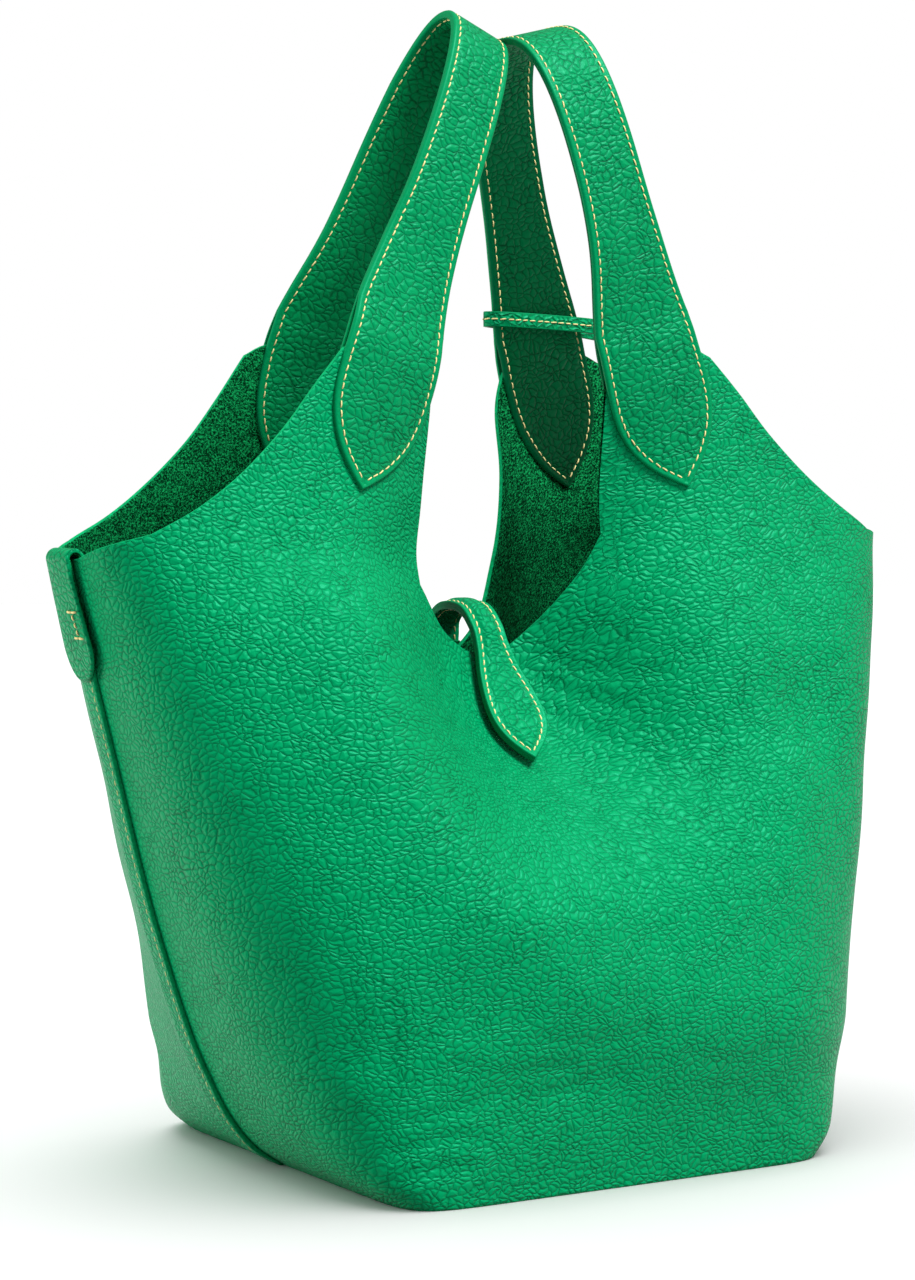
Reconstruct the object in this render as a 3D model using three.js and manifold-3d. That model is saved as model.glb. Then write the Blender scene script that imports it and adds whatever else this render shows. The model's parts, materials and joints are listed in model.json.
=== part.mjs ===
// Soft leather bucket bag with two arched shoulder handles, a closure tab and a hang tag.
// Millimetres. +Z is up, -Y is the front, and +X runs along the front towards the hang tag.
// The origin is the centre of the base on the floor.
import * as THREE from "three";
import { mergeVertices } from "three/addons/utils/BufferGeometryUtils.js";
import Module from "manifold-3d";

const wasm = await Module();
wasm.setup();

// ---------------------------------------------------------------- driving dimensions
const LEATHER = 2.0; // body leather
const STRAP_LEATHER = 1.9; // each of the two layers of a handle
const TAB_LEATHER = 1.4; // each layer of the closure tab, the side tabs and the tag
const GAP = 0.35; // air between pieces that touch
const SEWN_GAP = 1.25; // air under a piece sewn on the curved walls

const BASE_HALF_WIDTH = 104;
const BASE_HALF_DEPTH = 111;
const MOUTH_HALF_WIDTH = 202;
const MOUTH_SIDE_HEIGHT = 268;
const SEAM_LAP = 11; // the back panel covers the front panel by this much at each side seam

// The body is a stack of superellipses |x/a|^n + |y/b|^n = 1. Each row is [height, value].
const HALF_WIDTH = [[0, BASE_HALF_WIDTH], [12, 119], [45, 139], [100, 158.5], [180, 179],
  [MOUTH_SIDE_HEIGHT, MOUTH_HALF_WIDTH], [380, 226]];
const HALF_DEPTH = {
  front: [[0, BASE_HALF_DEPTH], [60, 111], [140, 102], [224, 78], [290, 52], [380, 45]],
  back: [[0, BASE_HALF_DEPTH], [30, 107], [60, 103], [140, 96], [224, 74], [290, 52], [380, 45]],
};
const SQUARENESS = {
  front: [[0, 12], [20, 6.5], [60, 4.6], [160, 4], [MOUTH_SIDE_HEIGHT, 4], [380, 4]],
  back: [[0, 12], [20, 6], [60, 3.4], [160, 2.5], [MOUTH_SIDE_HEIGHT, 3.2], [380, 3.6]],
};
// The closure draws the middle of both walls together and a little to the left.
const PINCH = { depth: 0.82, width: 62, from: 110, to: 235, easeFrom: 260, easeTo: 350, left: 0.3 };
const SWAY = { shift: -10.5, width: 85, from: 100, to: 230 };

// Top edge of each panel, from the side corner up the slope to the horn and down the middle cut.
const SIDE_CORNER_FLAT = 18; // level stretch of the edge beside each seam
const SLOPE_EDGE = [[186, 274.5], [165, 286], [145, 300], [125, 318], [109, 336], [94, 352]];
const HORN_TOP = [[82, 362], [62, 366], [52, 364]];
const MIDDLE_CUT = [[46, 352], [46.5, 322], [46, 294], [41, 264], [27, 240], [12, 227], [0, 224]];

// Each handle is an arch from the front horn to the back horn on its own side.
const HINGE_RADIUS = 23; // half the width of the strap where it bends
const ARCH_HEIGHT = 139;
const ARCH_LEG = 41;
const ARCH_ROUTE = [[1, -0.16], [1, 0], [0.985, 0.29], [0.92, 0.54], [0.76, 0.78], [0.44, 0.95], [0, 1]];
const ARCH_HALF_WIDTH = [[0, HINGE_RADIUS], [28, 18.8], [54, 16.2], [80, 15.4], [139, 15]];
const TAB_WIDEST = { half: 24.5, above: 48 }; // height of the widest place over the tip
const HANDLES = [
  { name: "left", side: -1, hinge: [-65, 369], lean: 24, swing: 60, tip: [-83, 294] },
  { name: "right", side: 1, hinge: [57.5, 363], lean: 14, swing: 50, tip: [82, 294] },
];

const CLOSURE = {
  x: -10, // after the sway
  strapHalf: 8,
  tabHalf: 14,
  tipHeight: 176,
  widestHeight: 203,
  hinge: [19.6, 227.5], // y, z
  standOff: 3.6, // lining over the panel, with the snap between them
  snapHeight: 196,
};
const SIDE_TAB = { back: 20, front: 4, outsideTo: 214, insideTo: 238 };
const TAG = { hole: [114, 366], holeRadius: 4.5, y: 52.3, halfWidth: 12, top: 374, bottom: 320 };
const LOOP_BAND = { height: 7, thickness: 1.5 };

const GREEN = 0x0a965f, DEEP_GREEN = 0x05864f, SUEDE_GREEN = 0x06502a, STEEL = 0xc9ccd0, BOARD = 0x4c4a44;

// ---------------------------------------------------------------- small helpers
const clamp = (v, low, high) => Math.min(Math.max(v, low), high);
const mix = (a, b, t) => a + (b - a) * t;
const smooth = (t) => {
  const s = clamp(t, 0, 1);
  return s * s * (3 - 2 * s);
};

// Smooth curve through [height, value] rows.
function through(rows, z) {
  const h = clamp(z, rows[0][0], rows.at(-1)[0]);
  let i = 0;
  while (i < rows.length - 2 && rows[i + 1][0] <= h) i += 1;
  const slope = (k) => {
    const a = rows[Math.max(k - 1, 0)], b = rows[Math.min(k + 1, rows.length - 1)];
    if (k === 0 || k === rows.length - 1) return (b[1] - a[1]) / (b[0] - a[0]);
    const before = (rows[k][1] - a[1]) / (rows[k][0] - a[0]);
    const after = (b[1] - rows[k][1]) / (b[0] - rows[k][0]);
    return (before + after) / 2;
  };
  const [z0, v0] = rows[i], [z1, v1] = rows[i + 1];
  const d = z1 - z0, t = (h - z0) / d, t2 = t * t, t3 = t2 * t;
  return (2 * t3 - 3 * t2 + 1) * v0 + (t3 - 2 * t2 + t) * d * slope(i)
    + (3 * t2 - 2 * t3) * v1 + (t3 - t2) * d * slope(i + 1);
}

// A quarter of the superellipse at one height, as points with their arc length from the seam.
const QUARTER_STEPS = 60;
const quarters = new Map();
function quarter(z, face) {
  const key = face + z.toFixed(3);
  if (!quarters.has(key)) {
    const a = through(HALF_WIDTH, z), b = through(HALF_DEPTH[face], z), n = through(SQUARENESS[face], z);
    const points = [];
    let length = 0;
    for (let i = 0; i <= QUARTER_STEPS; i += 1) {
      const angle = (i / QUARTER_STEPS) * (Math.PI / 2), c = Math.cos(angle), s = Math.sin(angle);
      const r = ((c / a) ** n + (s / b) ** n) ** (-1 / n);
      const last = points.at(-1);
      if (last) length += Math.hypot(r * c - last.x, r * s - last.y);
      points.push({ x: r * c, y: r * s, length });
    }
    quarters.set(key, points);
  }
  return quarters.get(key);
}
const halfLength = (z, face) => quarter(z, face).at(-1).length;

function alongQuarter(points, length) {
  let i = 0;
  while (i < points.length - 2 && points[i + 1].length < length) i += 1;
  const a = points[i], b = points[i + 1], t = (length - a.length) / (b.length - a.length);
  return [mix(a.x, b.x, t), mix(a.y, b.y, t)];
}

// Middle of the leather at w mm along the wall from the centre line, at height z.
function wall(w, z, face) {
  const here = halfLength(z, face), right = Math.sign(w) || 1, over = Math.abs(w) - here;
  const other = face === "front" ? "back" : "front";
  const used = over > 0 ? other : face;
  const [x, y] = alongQuarter(quarter(z, used), over > 0 ? over : -over);
  const pinch = PINCH.depth * Math.exp(-((x / PINCH.width) ** 2))
    * smooth((z - PINCH.from) / (PINCH.to - PINCH.from))
    * mix(1, PINCH.left, smooth((z - PINCH.easeFrom) / (PINCH.easeTo - PINCH.easeFrom)));
  const sway = SWAY.shift * Math.exp(-((x / SWAY.width) ** 2)) * smooth((z - SWAY.from) / (SWAY.to - SWAY.from));
  const outward = used === "front" ? -1 : 1;
  return new THREE.Vector3(right * x + sway, outward * y * (1 - pinch), z);
}

// A point n mm outside the middle of the wall. Near the floor the offset stays level.
const LEVEL_BELOW = 14;
function onWall(w, z, n, face) {
  const step = 0.5, low = Math.max(z - step, 0);
  const alongW = wall(w + step, z, face).sub(wall(w - step, z, face));
  const alongZ = wall(w, low + 2 * step, face).sub(wall(w, low, face));
  const normal = alongW.cross(alongZ).multiplyScalar(face === "front" ? 1 : -1);
  normal.normalize();
  normal.z *= smooth(z / LEVEL_BELOW);
  normal.normalize();
  return wall(w, z, face).addScaledVector(normal, n);
}

// Distance along the wall of the point whose x is given.
function wallAt(x, z, face) {
  let w = x;
  for (let i = 0; i < 12; i += 1) w += x - wall(w, z, face).x;
  return w;
}

// ---------------------------------------------------------------- closed bodies
function facingOut(geometry) {
  const p = geometry.attributes.position, index = geometry.index.array;
  const a = new THREE.Vector3(), b = new THREE.Vector3(), c = new THREE.Vector3();
  let volume = 0;
  for (let i = 0; i < index.length; i += 3) {
    a.fromBufferAttribute(p, index[i]);
    b.fromBufferAttribute(p, index[i + 1]);
    c.fromBufferAttribute(p, index[i + 2]);
    volume += a.dot(b.cross(c));
  }
  if (volume < 0) {
    for (let i = 0; i < index.length; i += 3) [index[i + 1], index[i + 2]] = [index[i + 2], index[i + 1]];
  }
  geometry.computeVertexNormals();
  return geometry;
}

function positionsOnly(geometry) {
  geometry.deleteAttribute("normal");
  geometry.deleteAttribute("uv");
  return mergeVertices(geometry, 1e-4);
}

// A sheet made from a box: place(u, v, t) gives the point for u and v from 0 to 1 and t = -1 or 1.
function sheet(across, along, place) {
  const geometry = positionsOnly(new THREE.BoxGeometry(1, 1, 1, across, along, 1));
  const p = geometry.attributes.position;
  for (let i = 0; i < p.count; i += 1) {
    const point = place(p.getX(i) + 0.5, p.getY(i) + 0.5, p.getZ(i) * 2);
    p.setXYZ(i, point.x, point.y, point.z);
  }
  return facingOut(geometry);
}

// A closed band made from a torus with a four-sided section: place(s, corner).
function band(along, place) {
  const torus = new THREE.TorusGeometry(10, 1, 4, along);
  const p = torus.attributes.position, uv = torus.attributes.uv;
  for (let i = 0; i < p.count; i += 1) {
    const point = place(uv.getX(i) % 1, Math.round(uv.getY(i) * 4) % 4);
    p.setXYZ(i, point.x, point.y, point.z);
  }
  return facingOut(positionsOnly(torus));
}

function solid(geometry) {
  const bare = positionsOnly(geometry.clone());
  return new wasm.Manifold(new wasm.Mesh({
    numProp: 3,
    vertProperties: new Float32Array(bare.attributes.position.array),
    triVerts: new Uint32Array(bare.index.array),
  }));
}

function without(geometry, ...tools) {
  let cut = solid(geometry);
  for (const tool of tools) cut = cut.subtract(solid(tool));
  const mesh = cut.getMesh();
  const made = new THREE.BufferGeometry();
  made.setAttribute("position", new THREE.BufferAttribute(new Float32Array(mesh.vertProperties), 3));
  made.setIndex(new THREE.BufferAttribute(new Uint32Array(mesh.triVerts), 1));
  made.computeVertexNormals();
  return made;
}

const bag = new THREE.Group();
function add(name, geometry, color, roughness = 0.5, metalness = 0) {
  const mesh = new THREE.Mesh(geometry, new THREE.MeshStandardMaterial({ color, roughness, metalness }));
  mesh.name = name;
  bag.add(mesh);
  return mesh;
}

// ---------------------------------------------------------------- body panels
// The room that a handle's round end and its swing need, cut through the horns and their tabs.
function swingRoom(handle) {
  const r = HINGE_RADIUS + GAP + 0.15, far = 90, degrees = Math.PI / 180;
  const outer = (handle.swing - handle.lean) * degrees, inner = handle.lean * degrees;
  const start = [-Math.cos(outer), -Math.sin(outer)], end = [Math.cos(inner), -Math.sin(inner)];
  const shape = new THREE.Shape();
  shape.moveTo(start[0] * r, start[1] * r);
  shape.absarc(0, 0, r, Math.PI + outer, 2 * Math.PI - inner, false);
  shape.lineTo(end[0] * r + far * Math.sin(inner), end[1] * r + far * Math.cos(inner));
  shape.lineTo(start[0] * r - far * Math.sin(outer), start[1] * r + far * Math.cos(outer));
  const depth = 160;
  const room = new THREE.ExtrudeGeometry(shape, { depth, bevelEnabled: false, curveSegments: 14 });
  if (handle.side > 0) room.rotateY(Math.PI).translate(0, 0, depth);
  room.translate(0, 0, -depth / 2).rotateX(Math.PI / 2);
  return room.translate(handle.hinge[0], 0, handle.hinge[1]);
}

// The top edge of one half from the side corner to the centre: x and z of each point, and foot, the
// place of its column along the base, from 1 at the base's corner to 0 at the centre.
function topEdge() {
  const stretches = [
    { rows: SLOPE_EDGE, steps: 6, feet: [1, 0.7] },
    { rows: [SLOPE_EDGE.at(-1), ...HORN_TOP, MIDDLE_CUT[0]], steps: 3, feet: [0.7, 0.56] },
    { rows: MIDDLE_CUT, steps: 8, feet: [0.56, 0] },
  ];
  const edge = [];
  for (const { rows, steps, feet } of stretches) {
    const curve = new THREE.SplineCurve(rows.map(([x, z]) => new THREE.Vector2(x, z)));
    for (let i = edge.length ? 1 : 0; i <= steps; i += 1) {
      const { x, y } = curve.getPoint(i / steps);
      edge.push({ x, z: y, foot: mix(feet[0], feet[1], i / steps) });
    }
  }
  return edge;
}

// Share of the half wall, from the centre line to the seam, at which x is reached before the sway.
function shareOf(x, z, face) {
  const points = quarter(z, face);
  let i = 0;
  while (i < points.length - 2 && points[i + 1].x > x) i += 1;
  const a = points[i], b = points[i + 1];
  const length = mix(a.length, b.length, clamp((a.x - x) / (a.x - b.x), 0, 1));
  return 1 - length / points.at(-1).length;
}

const CORNER_AT_BASE = BASE_HALF_WIDTH / (BASE_HALF_WIDTH + BASE_HALF_DEPTH);
const PANEL_ROWS = 15, ROW_CROWDING = 0.5; // rows crowd towards the base and the top edge
const LAP_EASE = 9; // beyond the lap the back panel comes back to the wall's middle over this much
const SEAM_COLUMNS = { front: [-SEAM_LAP, 0, SEAM_LAP], back: [0, SEAM_LAP, SEAM_LAP + LAP_EASE] };

// The columns of half a panel from the seam to the centre. Beside the seam they keep their distance
// from it (inset). The others have their share of the half wall at the base (low) and at the top
// edge (high). top is the height of the top edge.
function halfColumns(face) {
  const columns = topEdge().map(({ x, z, foot }) => (
    { low: foot * CORNER_AT_BASE, high: shareOf(x, z, face), top: z }));
  const length = halfLength(MOUTH_SIDE_HEIGHT, face), inner = columns[0], reach = (1 - inner.high) * length;
  const topAt = (inset) => mix(MOUTH_SIDE_HEIGHT, inner.top,
    clamp((inset - SIDE_CORNER_FLAT) / (reach - SIDE_CORNER_FLAT), 0, 1));
  const seam = SEAM_COLUMNS[face].map((inset) => ({ inset, top: topAt(inset) }));
  const corner = [0.5, 0.66, 0.8, 0.91].map((t) => (
    { low: mix(1, inner.low, 1 - (1 - t) ** 1.6), high: mix(1, inner.high, t), top: topAt(reach * t) }));
  return [...seam, ...corner, ...columns];
}

function panel(face) {
  const half = halfColumns(face);
  const all = [
    ...half.map((column) => ({ ...column, side: -1 })),
    ...half.slice(0, -1).reverse().map((column) => ({ ...column, side: 1 })),
  ];
  return sheet(all.length - 1, PANEL_ROWS, (u, v, t) => {
    const { inset, low, high, top, side } = all[Math.round(u * (all.length - 1))];
    const z = top * mix(v, smooth(v), ROW_CROWDING), length = halfLength(z, face);
    const fromCentre = inset === undefined ? mix(low, high, z / top) * length : length - inset;
    // In the lap the back panel lies outside the front panel.
    const lapped = face === "back" ? 1 - smooth((length - fromCentre - SEAM_LAP) / LAP_EASE) : 0;
    return onWall(side * fromCentre, z, (t * LEATHER) / 2 + lapped * (LEATHER + GAP), face);
  });
}

const rooms = HANDLES.map(swingRoom);
for (const face of ["front", "back"]) add(`${face}_panel`, without(panel(face), ...rooms), GREEN);

// ---------------------------------------------------------------- base
const SLAB_CORNER = 28; // the slab's corner radius on the plan
function slab(inset, low, high) {
  const a = BASE_HALF_WIDTH - inset - SLAB_CORNER, b = BASE_HALF_DEPTH - inset - SLAB_CORNER;
  const shape = new THREE.Shape();
  shape.absarc(a, b, SLAB_CORNER, 0, Math.PI / 2, false);
  shape.absarc(-a, b, SLAB_CORNER, Math.PI / 2, Math.PI, false);
  shape.absarc(-a, -b, SLAB_CORNER, Math.PI, 1.5 * Math.PI, false);
  shape.absarc(a, -b, SLAB_CORNER, 1.5 * Math.PI, 2 * Math.PI, false);
  const made = new THREE.ExtrudeGeometry(shape, { depth: high - low, bevelEnabled: false, curveSegments: 6 });
  return made.translate(0, 0, low);
}
const BASE_THICKNESS = 2.4, BOARD_THICKNESS = 2, COVER_THICKNESS = 1.4;
const boardLow = BASE_THICKNESS + GAP, coverLow = boardLow + BOARD_THICKNESS + GAP;
add("base_panel", slab(LEATHER, 0, BASE_THICKNESS), GREEN);
add("base_stiffener", slab(8, boardLow, boardLow + BOARD_THICKNESS), BOARD, 0.85);
add("base_inner_cover", slab(5, coverLow, coverLow + COVER_THICKNESS), SUEDE_GREEN, 0.9);

// ---------------------------------------------------------------- side tabs
// Each folds over the top of a side seam: up the outside, over the edge and down the inside.
function sideTab(side) {
  const outside = LEATHER * 1.5 + 2 * GAP + TAB_LEATHER / 2 + 0.3, inside = -(LEATHER / 2 + GAP + TAB_LEATHER / 2);
  const fold = (outside - inside) / 2, middle = (outside + inside) / 2, top = MOUTH_SIDE_HEIGHT + 0.6;
  const outer = top - SIDE_TAB.outsideTo, over = Math.PI * fold, inner = top - SIDE_TAB.insideTo;
  const total = outer + over + inner;
  return sheet(4, 20, (u, v, t) => {
    const s = v * total;
    let n = outside, z = SIDE_TAB.outsideTo + s, outward = [1, 0];
    if (s > outer && s < outer + over) {
      const angle = (s - outer) / fold;
      outward = [Math.cos(angle), Math.sin(angle)];
      n = middle + fold * outward[0];
      z = top + fold * outward[1];
    } else if (s >= outer + over) {
      n = inside;
      z = top - (s - outer - over);
      outward = [-1, 0];
    }
    const end = clamp(s / 14, 0, 1), round = Math.sqrt(1 - (1 - end) ** 2) * 0.85 + 0.15;
    const across = mix(-SIDE_TAB.front, SIDE_TAB.back, 0.5 + (u - 0.5) * round);
    const w = side * (halfLength(Math.min(z, MOUTH_SIDE_HEIGHT), "back") - across);
    const at = z + (t * TAB_LEATHER * outward[1]) / 2;
    return onWall(w, Math.min(at, MOUTH_SIDE_HEIGHT), n + (t * TAB_LEATHER * outward[0]) / 2, "back")
      .setZ(at);
  });
}
add("left_side_tab", sideTab(-1), GREEN);
add("right_side_tab", sideTab(1), GREEN);

// ---------------------------------------------------------------- handles
const TAB_OUTLINE = 2.6; // power of the spear's curve
function spearTab(handle, face, layer) {
  const [hx, hz] = handle.hinge, [tx, tz] = handle.tip;
  const top = hz + 2, widest = tz + TAB_WIDEST.above;
  const n = layer * (LEATHER / 2 + SEWN_GAP + STRAP_LEATHER / 2);
  return without(sheet(6, 11, (u, v, t) => {
    const z = mix(tz, top, v), x = mix(tx, hx, (z - tz) / (hz - tz));
    const half = z < widest
      ? TAB_WIDEST.half * (1 - ((widest - z) / (widest - tz)) ** TAB_OUTLINE) + 0.6
      : mix(TAB_WIDEST.half + 0.6, HINGE_RADIUS - 1, (z - widest) / (top - widest));
    return onWall(wallAt(x + (u * 2 - 1) * half, z, face), z, n + (t * STRAP_LEATHER) / 2, face);
  }), swingRoom(handle));
}

function archLayer(handle, layer) {
  const [hx, hz] = handle.hinge, lean = (handle.lean * Math.PI) / 180;
  const front = ARCH_ROUTE.map(([y, h]) => new THREE.Vector3(0, -y * ARCH_LEG, h * ARCH_HEIGHT));
  const back = front.slice(0, -1).reverse().map((p) => new THREE.Vector3(0, -p.y, p.z));
  const route = new THREE.CatmullRomCurve3([...front, ...back], false, "centripetal");
  return sheet(2, 44, (u, v, t) => {
    const p = route.getPointAt(v), along = route.getTangentAt(v);
    const out = new THREE.Vector3(0, -along.z, along.y);
    const below = clamp(-p.z / HINGE_RADIUS, 0, 0.995);
    const half = through(ARCH_HALF_WIDTH, p.z) * Math.sqrt(1 - below * below);
    p.addScaledVector(out, layer * (STRAP_LEATHER + GAP) / 2 + (t * STRAP_LEATHER) / 2);
    const x = (u * 2 - 1) * half;
    return new THREE.Vector3(
      hx + x * Math.cos(lean) - handle.side * p.z * Math.sin(lean),
      p.y,
      hz + p.z * Math.cos(lean) + handle.side * x * Math.sin(lean),
    );
  });
}

for (const handle of HANDLES) {
  for (const [layer, word] of [[1, "outer"], [-1, "inner"]]) {
    add(`${handle.name}_handle_${word}`, archLayer(handle, layer), layer > 0 ? GREEN : DEEP_GREEN);
    for (const face of ["front", "back"]) {
      add(`${handle.name}_${face}_${word}_tab`, spearTab(handle, face, layer), layer > 0 ? GREEN : DEEP_GREEN);
    }
  }
}

// ---------------------------------------------------------------- closure
// The tab starts over the back panel's edge, arches over the mouth and lies on the front panel.
const frontAt = (x, z, n) => onWall(wallAt(x, z, "front"), z, n, "front");
function closureRoute() {
  const [hy, hz] = CLOSURE.hinge, lying = [222, 210, 198, 187, CLOSURE.tipHeight - 3];
  const middle = LEATHER / 2 + CLOSURE.standOff + TAB_LEATHER;
  const arc = [[hy, hz], [15.5, 237.5], [5, 243], [-8, 241.5], [-17, 235]];
  const points = arc.map(([y, z]) => new THREE.Vector3(CLOSURE.x, y, z));
  for (const z of lying) points.push(frontAt(CLOSURE.x, z, middle));
  return new THREE.CatmullRomCurve3(points, false, "centripetal");
}
const CLOSURE_ROUTE = closureRoute();

function closureLayer(layer) {
  const { x: middle, strapHalf, tabHalf, tipHeight, widestHeight } = CLOSURE;
  return sheet(4, 26, (u, v, t) => {
    const p = CLOSURE_ROUTE.getPointAt(v), along = CLOSURE_ROUTE.getTangentAt(v);
    const out = new THREE.Vector3(0, along.z, -along.y);
    let half = strapHalf;
    if (p.y < -10 && p.z < widestHeight) {
      half = tabHalf * (1 - clamp((widestHeight - p.z) / (widestHeight - tipHeight), 0, 1) ** 2) + 0.6;
    } else if (p.y < -10) half = mix(tabHalf + 0.6, strapHalf, smooth((p.z - widestHeight) / 30));
    const x = middle + (u * 2 - 1) * half;
    // Across its width the lying part follows the pinched wall.
    const follow = p.y < 0 ? smooth((236 - p.z) / 16) : 0, z = Math.min(p.z, 222);
    p.y += follow * (frontAt(x, z, 0).y - frontAt(middle, z, 0).y);
    p.addScaledVector(out, layer * (TAB_LEATHER + GAP) / 2 + (t * TAB_LEATHER) / 2);
    return p.setX(x);
  });
}
add("closure_tab_outer", closureLayer(1), GREEN);
add("closure_tab_lining", closureLayer(-1), DEEP_GREEN);

// The root is sewn to the outside of the back panel and ends just under the hinge.
function closureRoot() {
  const low = 182, high = CLOSURE.hinge[1] - TAB_LEATHER - 1.6;
  const n = LEATHER / 2 + SEWN_GAP + TAB_LEATHER / 2;
  return sheet(4, 10, (u, v, t) => {
    const z = mix(low, high, v), reach = clamp((z - low) / 20, 0, 1);
    const half = mix(0.6, tabHalfAt(z), 1 - (1 - reach) ** 2);
    return onWall(wallAt(CLOSURE.x + (u * 2 - 1) * half, z, "back"), z, n + (t * TAB_LEATHER) / 2, "back");
  });
}
function tabHalfAt(z) {
  return mix(CLOSURE.tabHalf, CLOSURE.strapHalf, smooth((z - 200) / 22));
}
add("closure_root", closureRoot(), GREEN);

// Snap: a stud on the front panel with its washer inside, and a socket under the tab.
function snapPiece(profile) {
  const { x, snapHeight: z } = CLOSURE;
  const w = wallAt(x, z, "front"), at = onWall(w, z, 0, "front"), out = onWall(w, z, 1, "front").sub(at);
  const lathe = new THREE.LatheGeometry(profile.map(([r, h]) => new THREE.Vector2(r, h)), 18);
  const turn = new THREE.Quaternion().setFromUnitVectors(new THREE.Vector3(0, 1, 0), out);
  return facingOut(positionsOnly(lathe)).applyQuaternion(turn).translate(at.x, at.y, at.z);
}
const panelFace = LEATHER / 2;
add("snap_stud", snapPiece([[0, panelFace + 0.9], [5, panelFace + 0.9], [5, panelFace + 1.4],
  [2.2, panelFace + 1.6], [2.4, panelFace + 2.6], [0, panelFace + 2.7]]), STEEL, 0.3, 1);
add("snap_socket", snapPiece([[2.9, panelFace + 1.9], [5.8, panelFace + 1.9], [5.8, panelFace + 2.8],
  [3, panelFace + 2.9], [2.9, panelFace + 1.9]]), STEEL, 0.3, 1);
add("snap_washer", snapPiece([[0, -panelFace - 1.6], [5.6, -panelFace - 1.6], [5.6, -panelFace - 0.8],
  [0, -panelFace - 0.8]]), STEEL, 0.35, 1);

// ---------------------------------------------------------------- hang tag on its loop
const LOOP_ROUTE = [[30.5, 41.5, 371.5], [36, 36, 371.3], [58, 35.4, 370.5], [84, 36.2, 369.2], [101, 42, 367.4],
  [112, 47.5, 366.2], [114, 52.3, 366], [111.5, 57.8, 366], [98, 54.5, 367], [80, 50, 368.6],
  [58, 48.6, 370], [37, 47.4, 371.3]];
function tagLoop() {
  const route = new THREE.CatmullRomCurve3(LOOP_ROUTE.map((p) => new THREE.Vector3(...p)), true, "centripetal");
  const up = new THREE.Vector3(0, 0, 1), corners = [[1, 1], [-1, 1], [-1, -1], [1, -1]];
  return band(44, (s, corner) => {
    const side = route.getTangentAt(s).cross(up).normalize(), [a, b] = corners[corner];
    return route.getPointAt(s).addScaledVector(side, (a * LOOP_BAND.thickness) / 2)
      .addScaledVector(up, (b * LOOP_BAND.height) / 2);
  });
}
add("tag_loop", tagLoop(), GREEN);

function tagLayer(y) {
  const { hole: [x, z], halfWidth: a, top, bottom, holeRadius } = TAG;
  const shape = new THREE.Shape();
  shape.moveTo(-a, top - z - 6).quadraticCurveTo(-a, top - z, -a + 6, top - z);
  shape.lineTo(a - 6, top - z).quadraticCurveTo(a, top - z, a, top - z - 6).lineTo(a, bottom + a - z);
  shape.absarc(0, bottom + a - z, a, 0, -Math.PI, true);
  const hole = new THREE.Path();
  hole.absarc(0, 0, holeRadius, 0, Math.PI * 2, false);
  shape.holes.push(hole);
  const slab = new THREE.ExtrudeGeometry(shape, { depth: TAB_LEATHER, bevelEnabled: false, curveSegments: 10 });
  return slab.rotateX(Math.PI / 2).translate(x, y + TAB_LEATHER / 2, z);
}
const layerOffset = (TAB_LEATHER + GAP) / 2;
add("hang_tag_front", tagLayer(TAG.y - layerOffset), GREEN);
add("hang_tag_back", tagLayer(TAG.y + layerOffset), GREEN);

export default bag;
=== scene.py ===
"""Looks of a soft leather bucket bag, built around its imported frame.

Lengths are in millimetres, and build() turns them into metres. +Z is up and -Y is the front.
"""

import json
import math

import bpy
import numpy as np
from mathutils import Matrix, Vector


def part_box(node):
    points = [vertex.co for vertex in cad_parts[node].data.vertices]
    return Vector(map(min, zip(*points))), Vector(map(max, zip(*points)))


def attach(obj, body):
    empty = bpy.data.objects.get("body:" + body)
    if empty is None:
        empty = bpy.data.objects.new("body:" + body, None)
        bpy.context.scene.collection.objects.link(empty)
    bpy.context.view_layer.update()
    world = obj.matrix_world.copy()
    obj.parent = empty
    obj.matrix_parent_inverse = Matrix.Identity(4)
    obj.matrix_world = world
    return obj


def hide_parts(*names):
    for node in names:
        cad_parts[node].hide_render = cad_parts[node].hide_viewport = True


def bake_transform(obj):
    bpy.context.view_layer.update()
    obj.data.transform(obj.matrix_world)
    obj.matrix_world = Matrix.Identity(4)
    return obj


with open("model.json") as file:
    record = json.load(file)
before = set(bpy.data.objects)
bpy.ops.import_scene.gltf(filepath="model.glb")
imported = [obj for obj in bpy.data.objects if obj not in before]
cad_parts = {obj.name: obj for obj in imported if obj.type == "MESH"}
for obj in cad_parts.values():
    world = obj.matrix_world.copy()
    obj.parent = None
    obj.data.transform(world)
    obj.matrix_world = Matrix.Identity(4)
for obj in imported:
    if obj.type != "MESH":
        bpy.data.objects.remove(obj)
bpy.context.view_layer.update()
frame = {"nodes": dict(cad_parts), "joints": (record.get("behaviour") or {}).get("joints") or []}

MM = 0.001
JOINTS = {joint["name"]: joint for joint in frame["joints"]}


def joint_point(name):
    """A joint's place in millimetres."""
    return np.array(JOINTS[name]["pos_m"]) / MM


def node_box(name):
    """A node's lowest and highest corner in millimetres."""
    low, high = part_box(name)
    return np.array(low) / MM, np.array(high) / MM


# ---------------------------------------------------------------- driving dimensions
LEATHER = 2.0
STRAP_LEATHER = 1.9
TAB_LEATHER = 1.4
SEAM_LAP = 11.0
LAP_EASE = 9.0
MOUTH_SIDE_HEIGHT = {-1: 264.0, 1: 268.0}
SIDE_CORNER_FLAT = {"front": 4.0, "back": 18.0}

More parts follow.
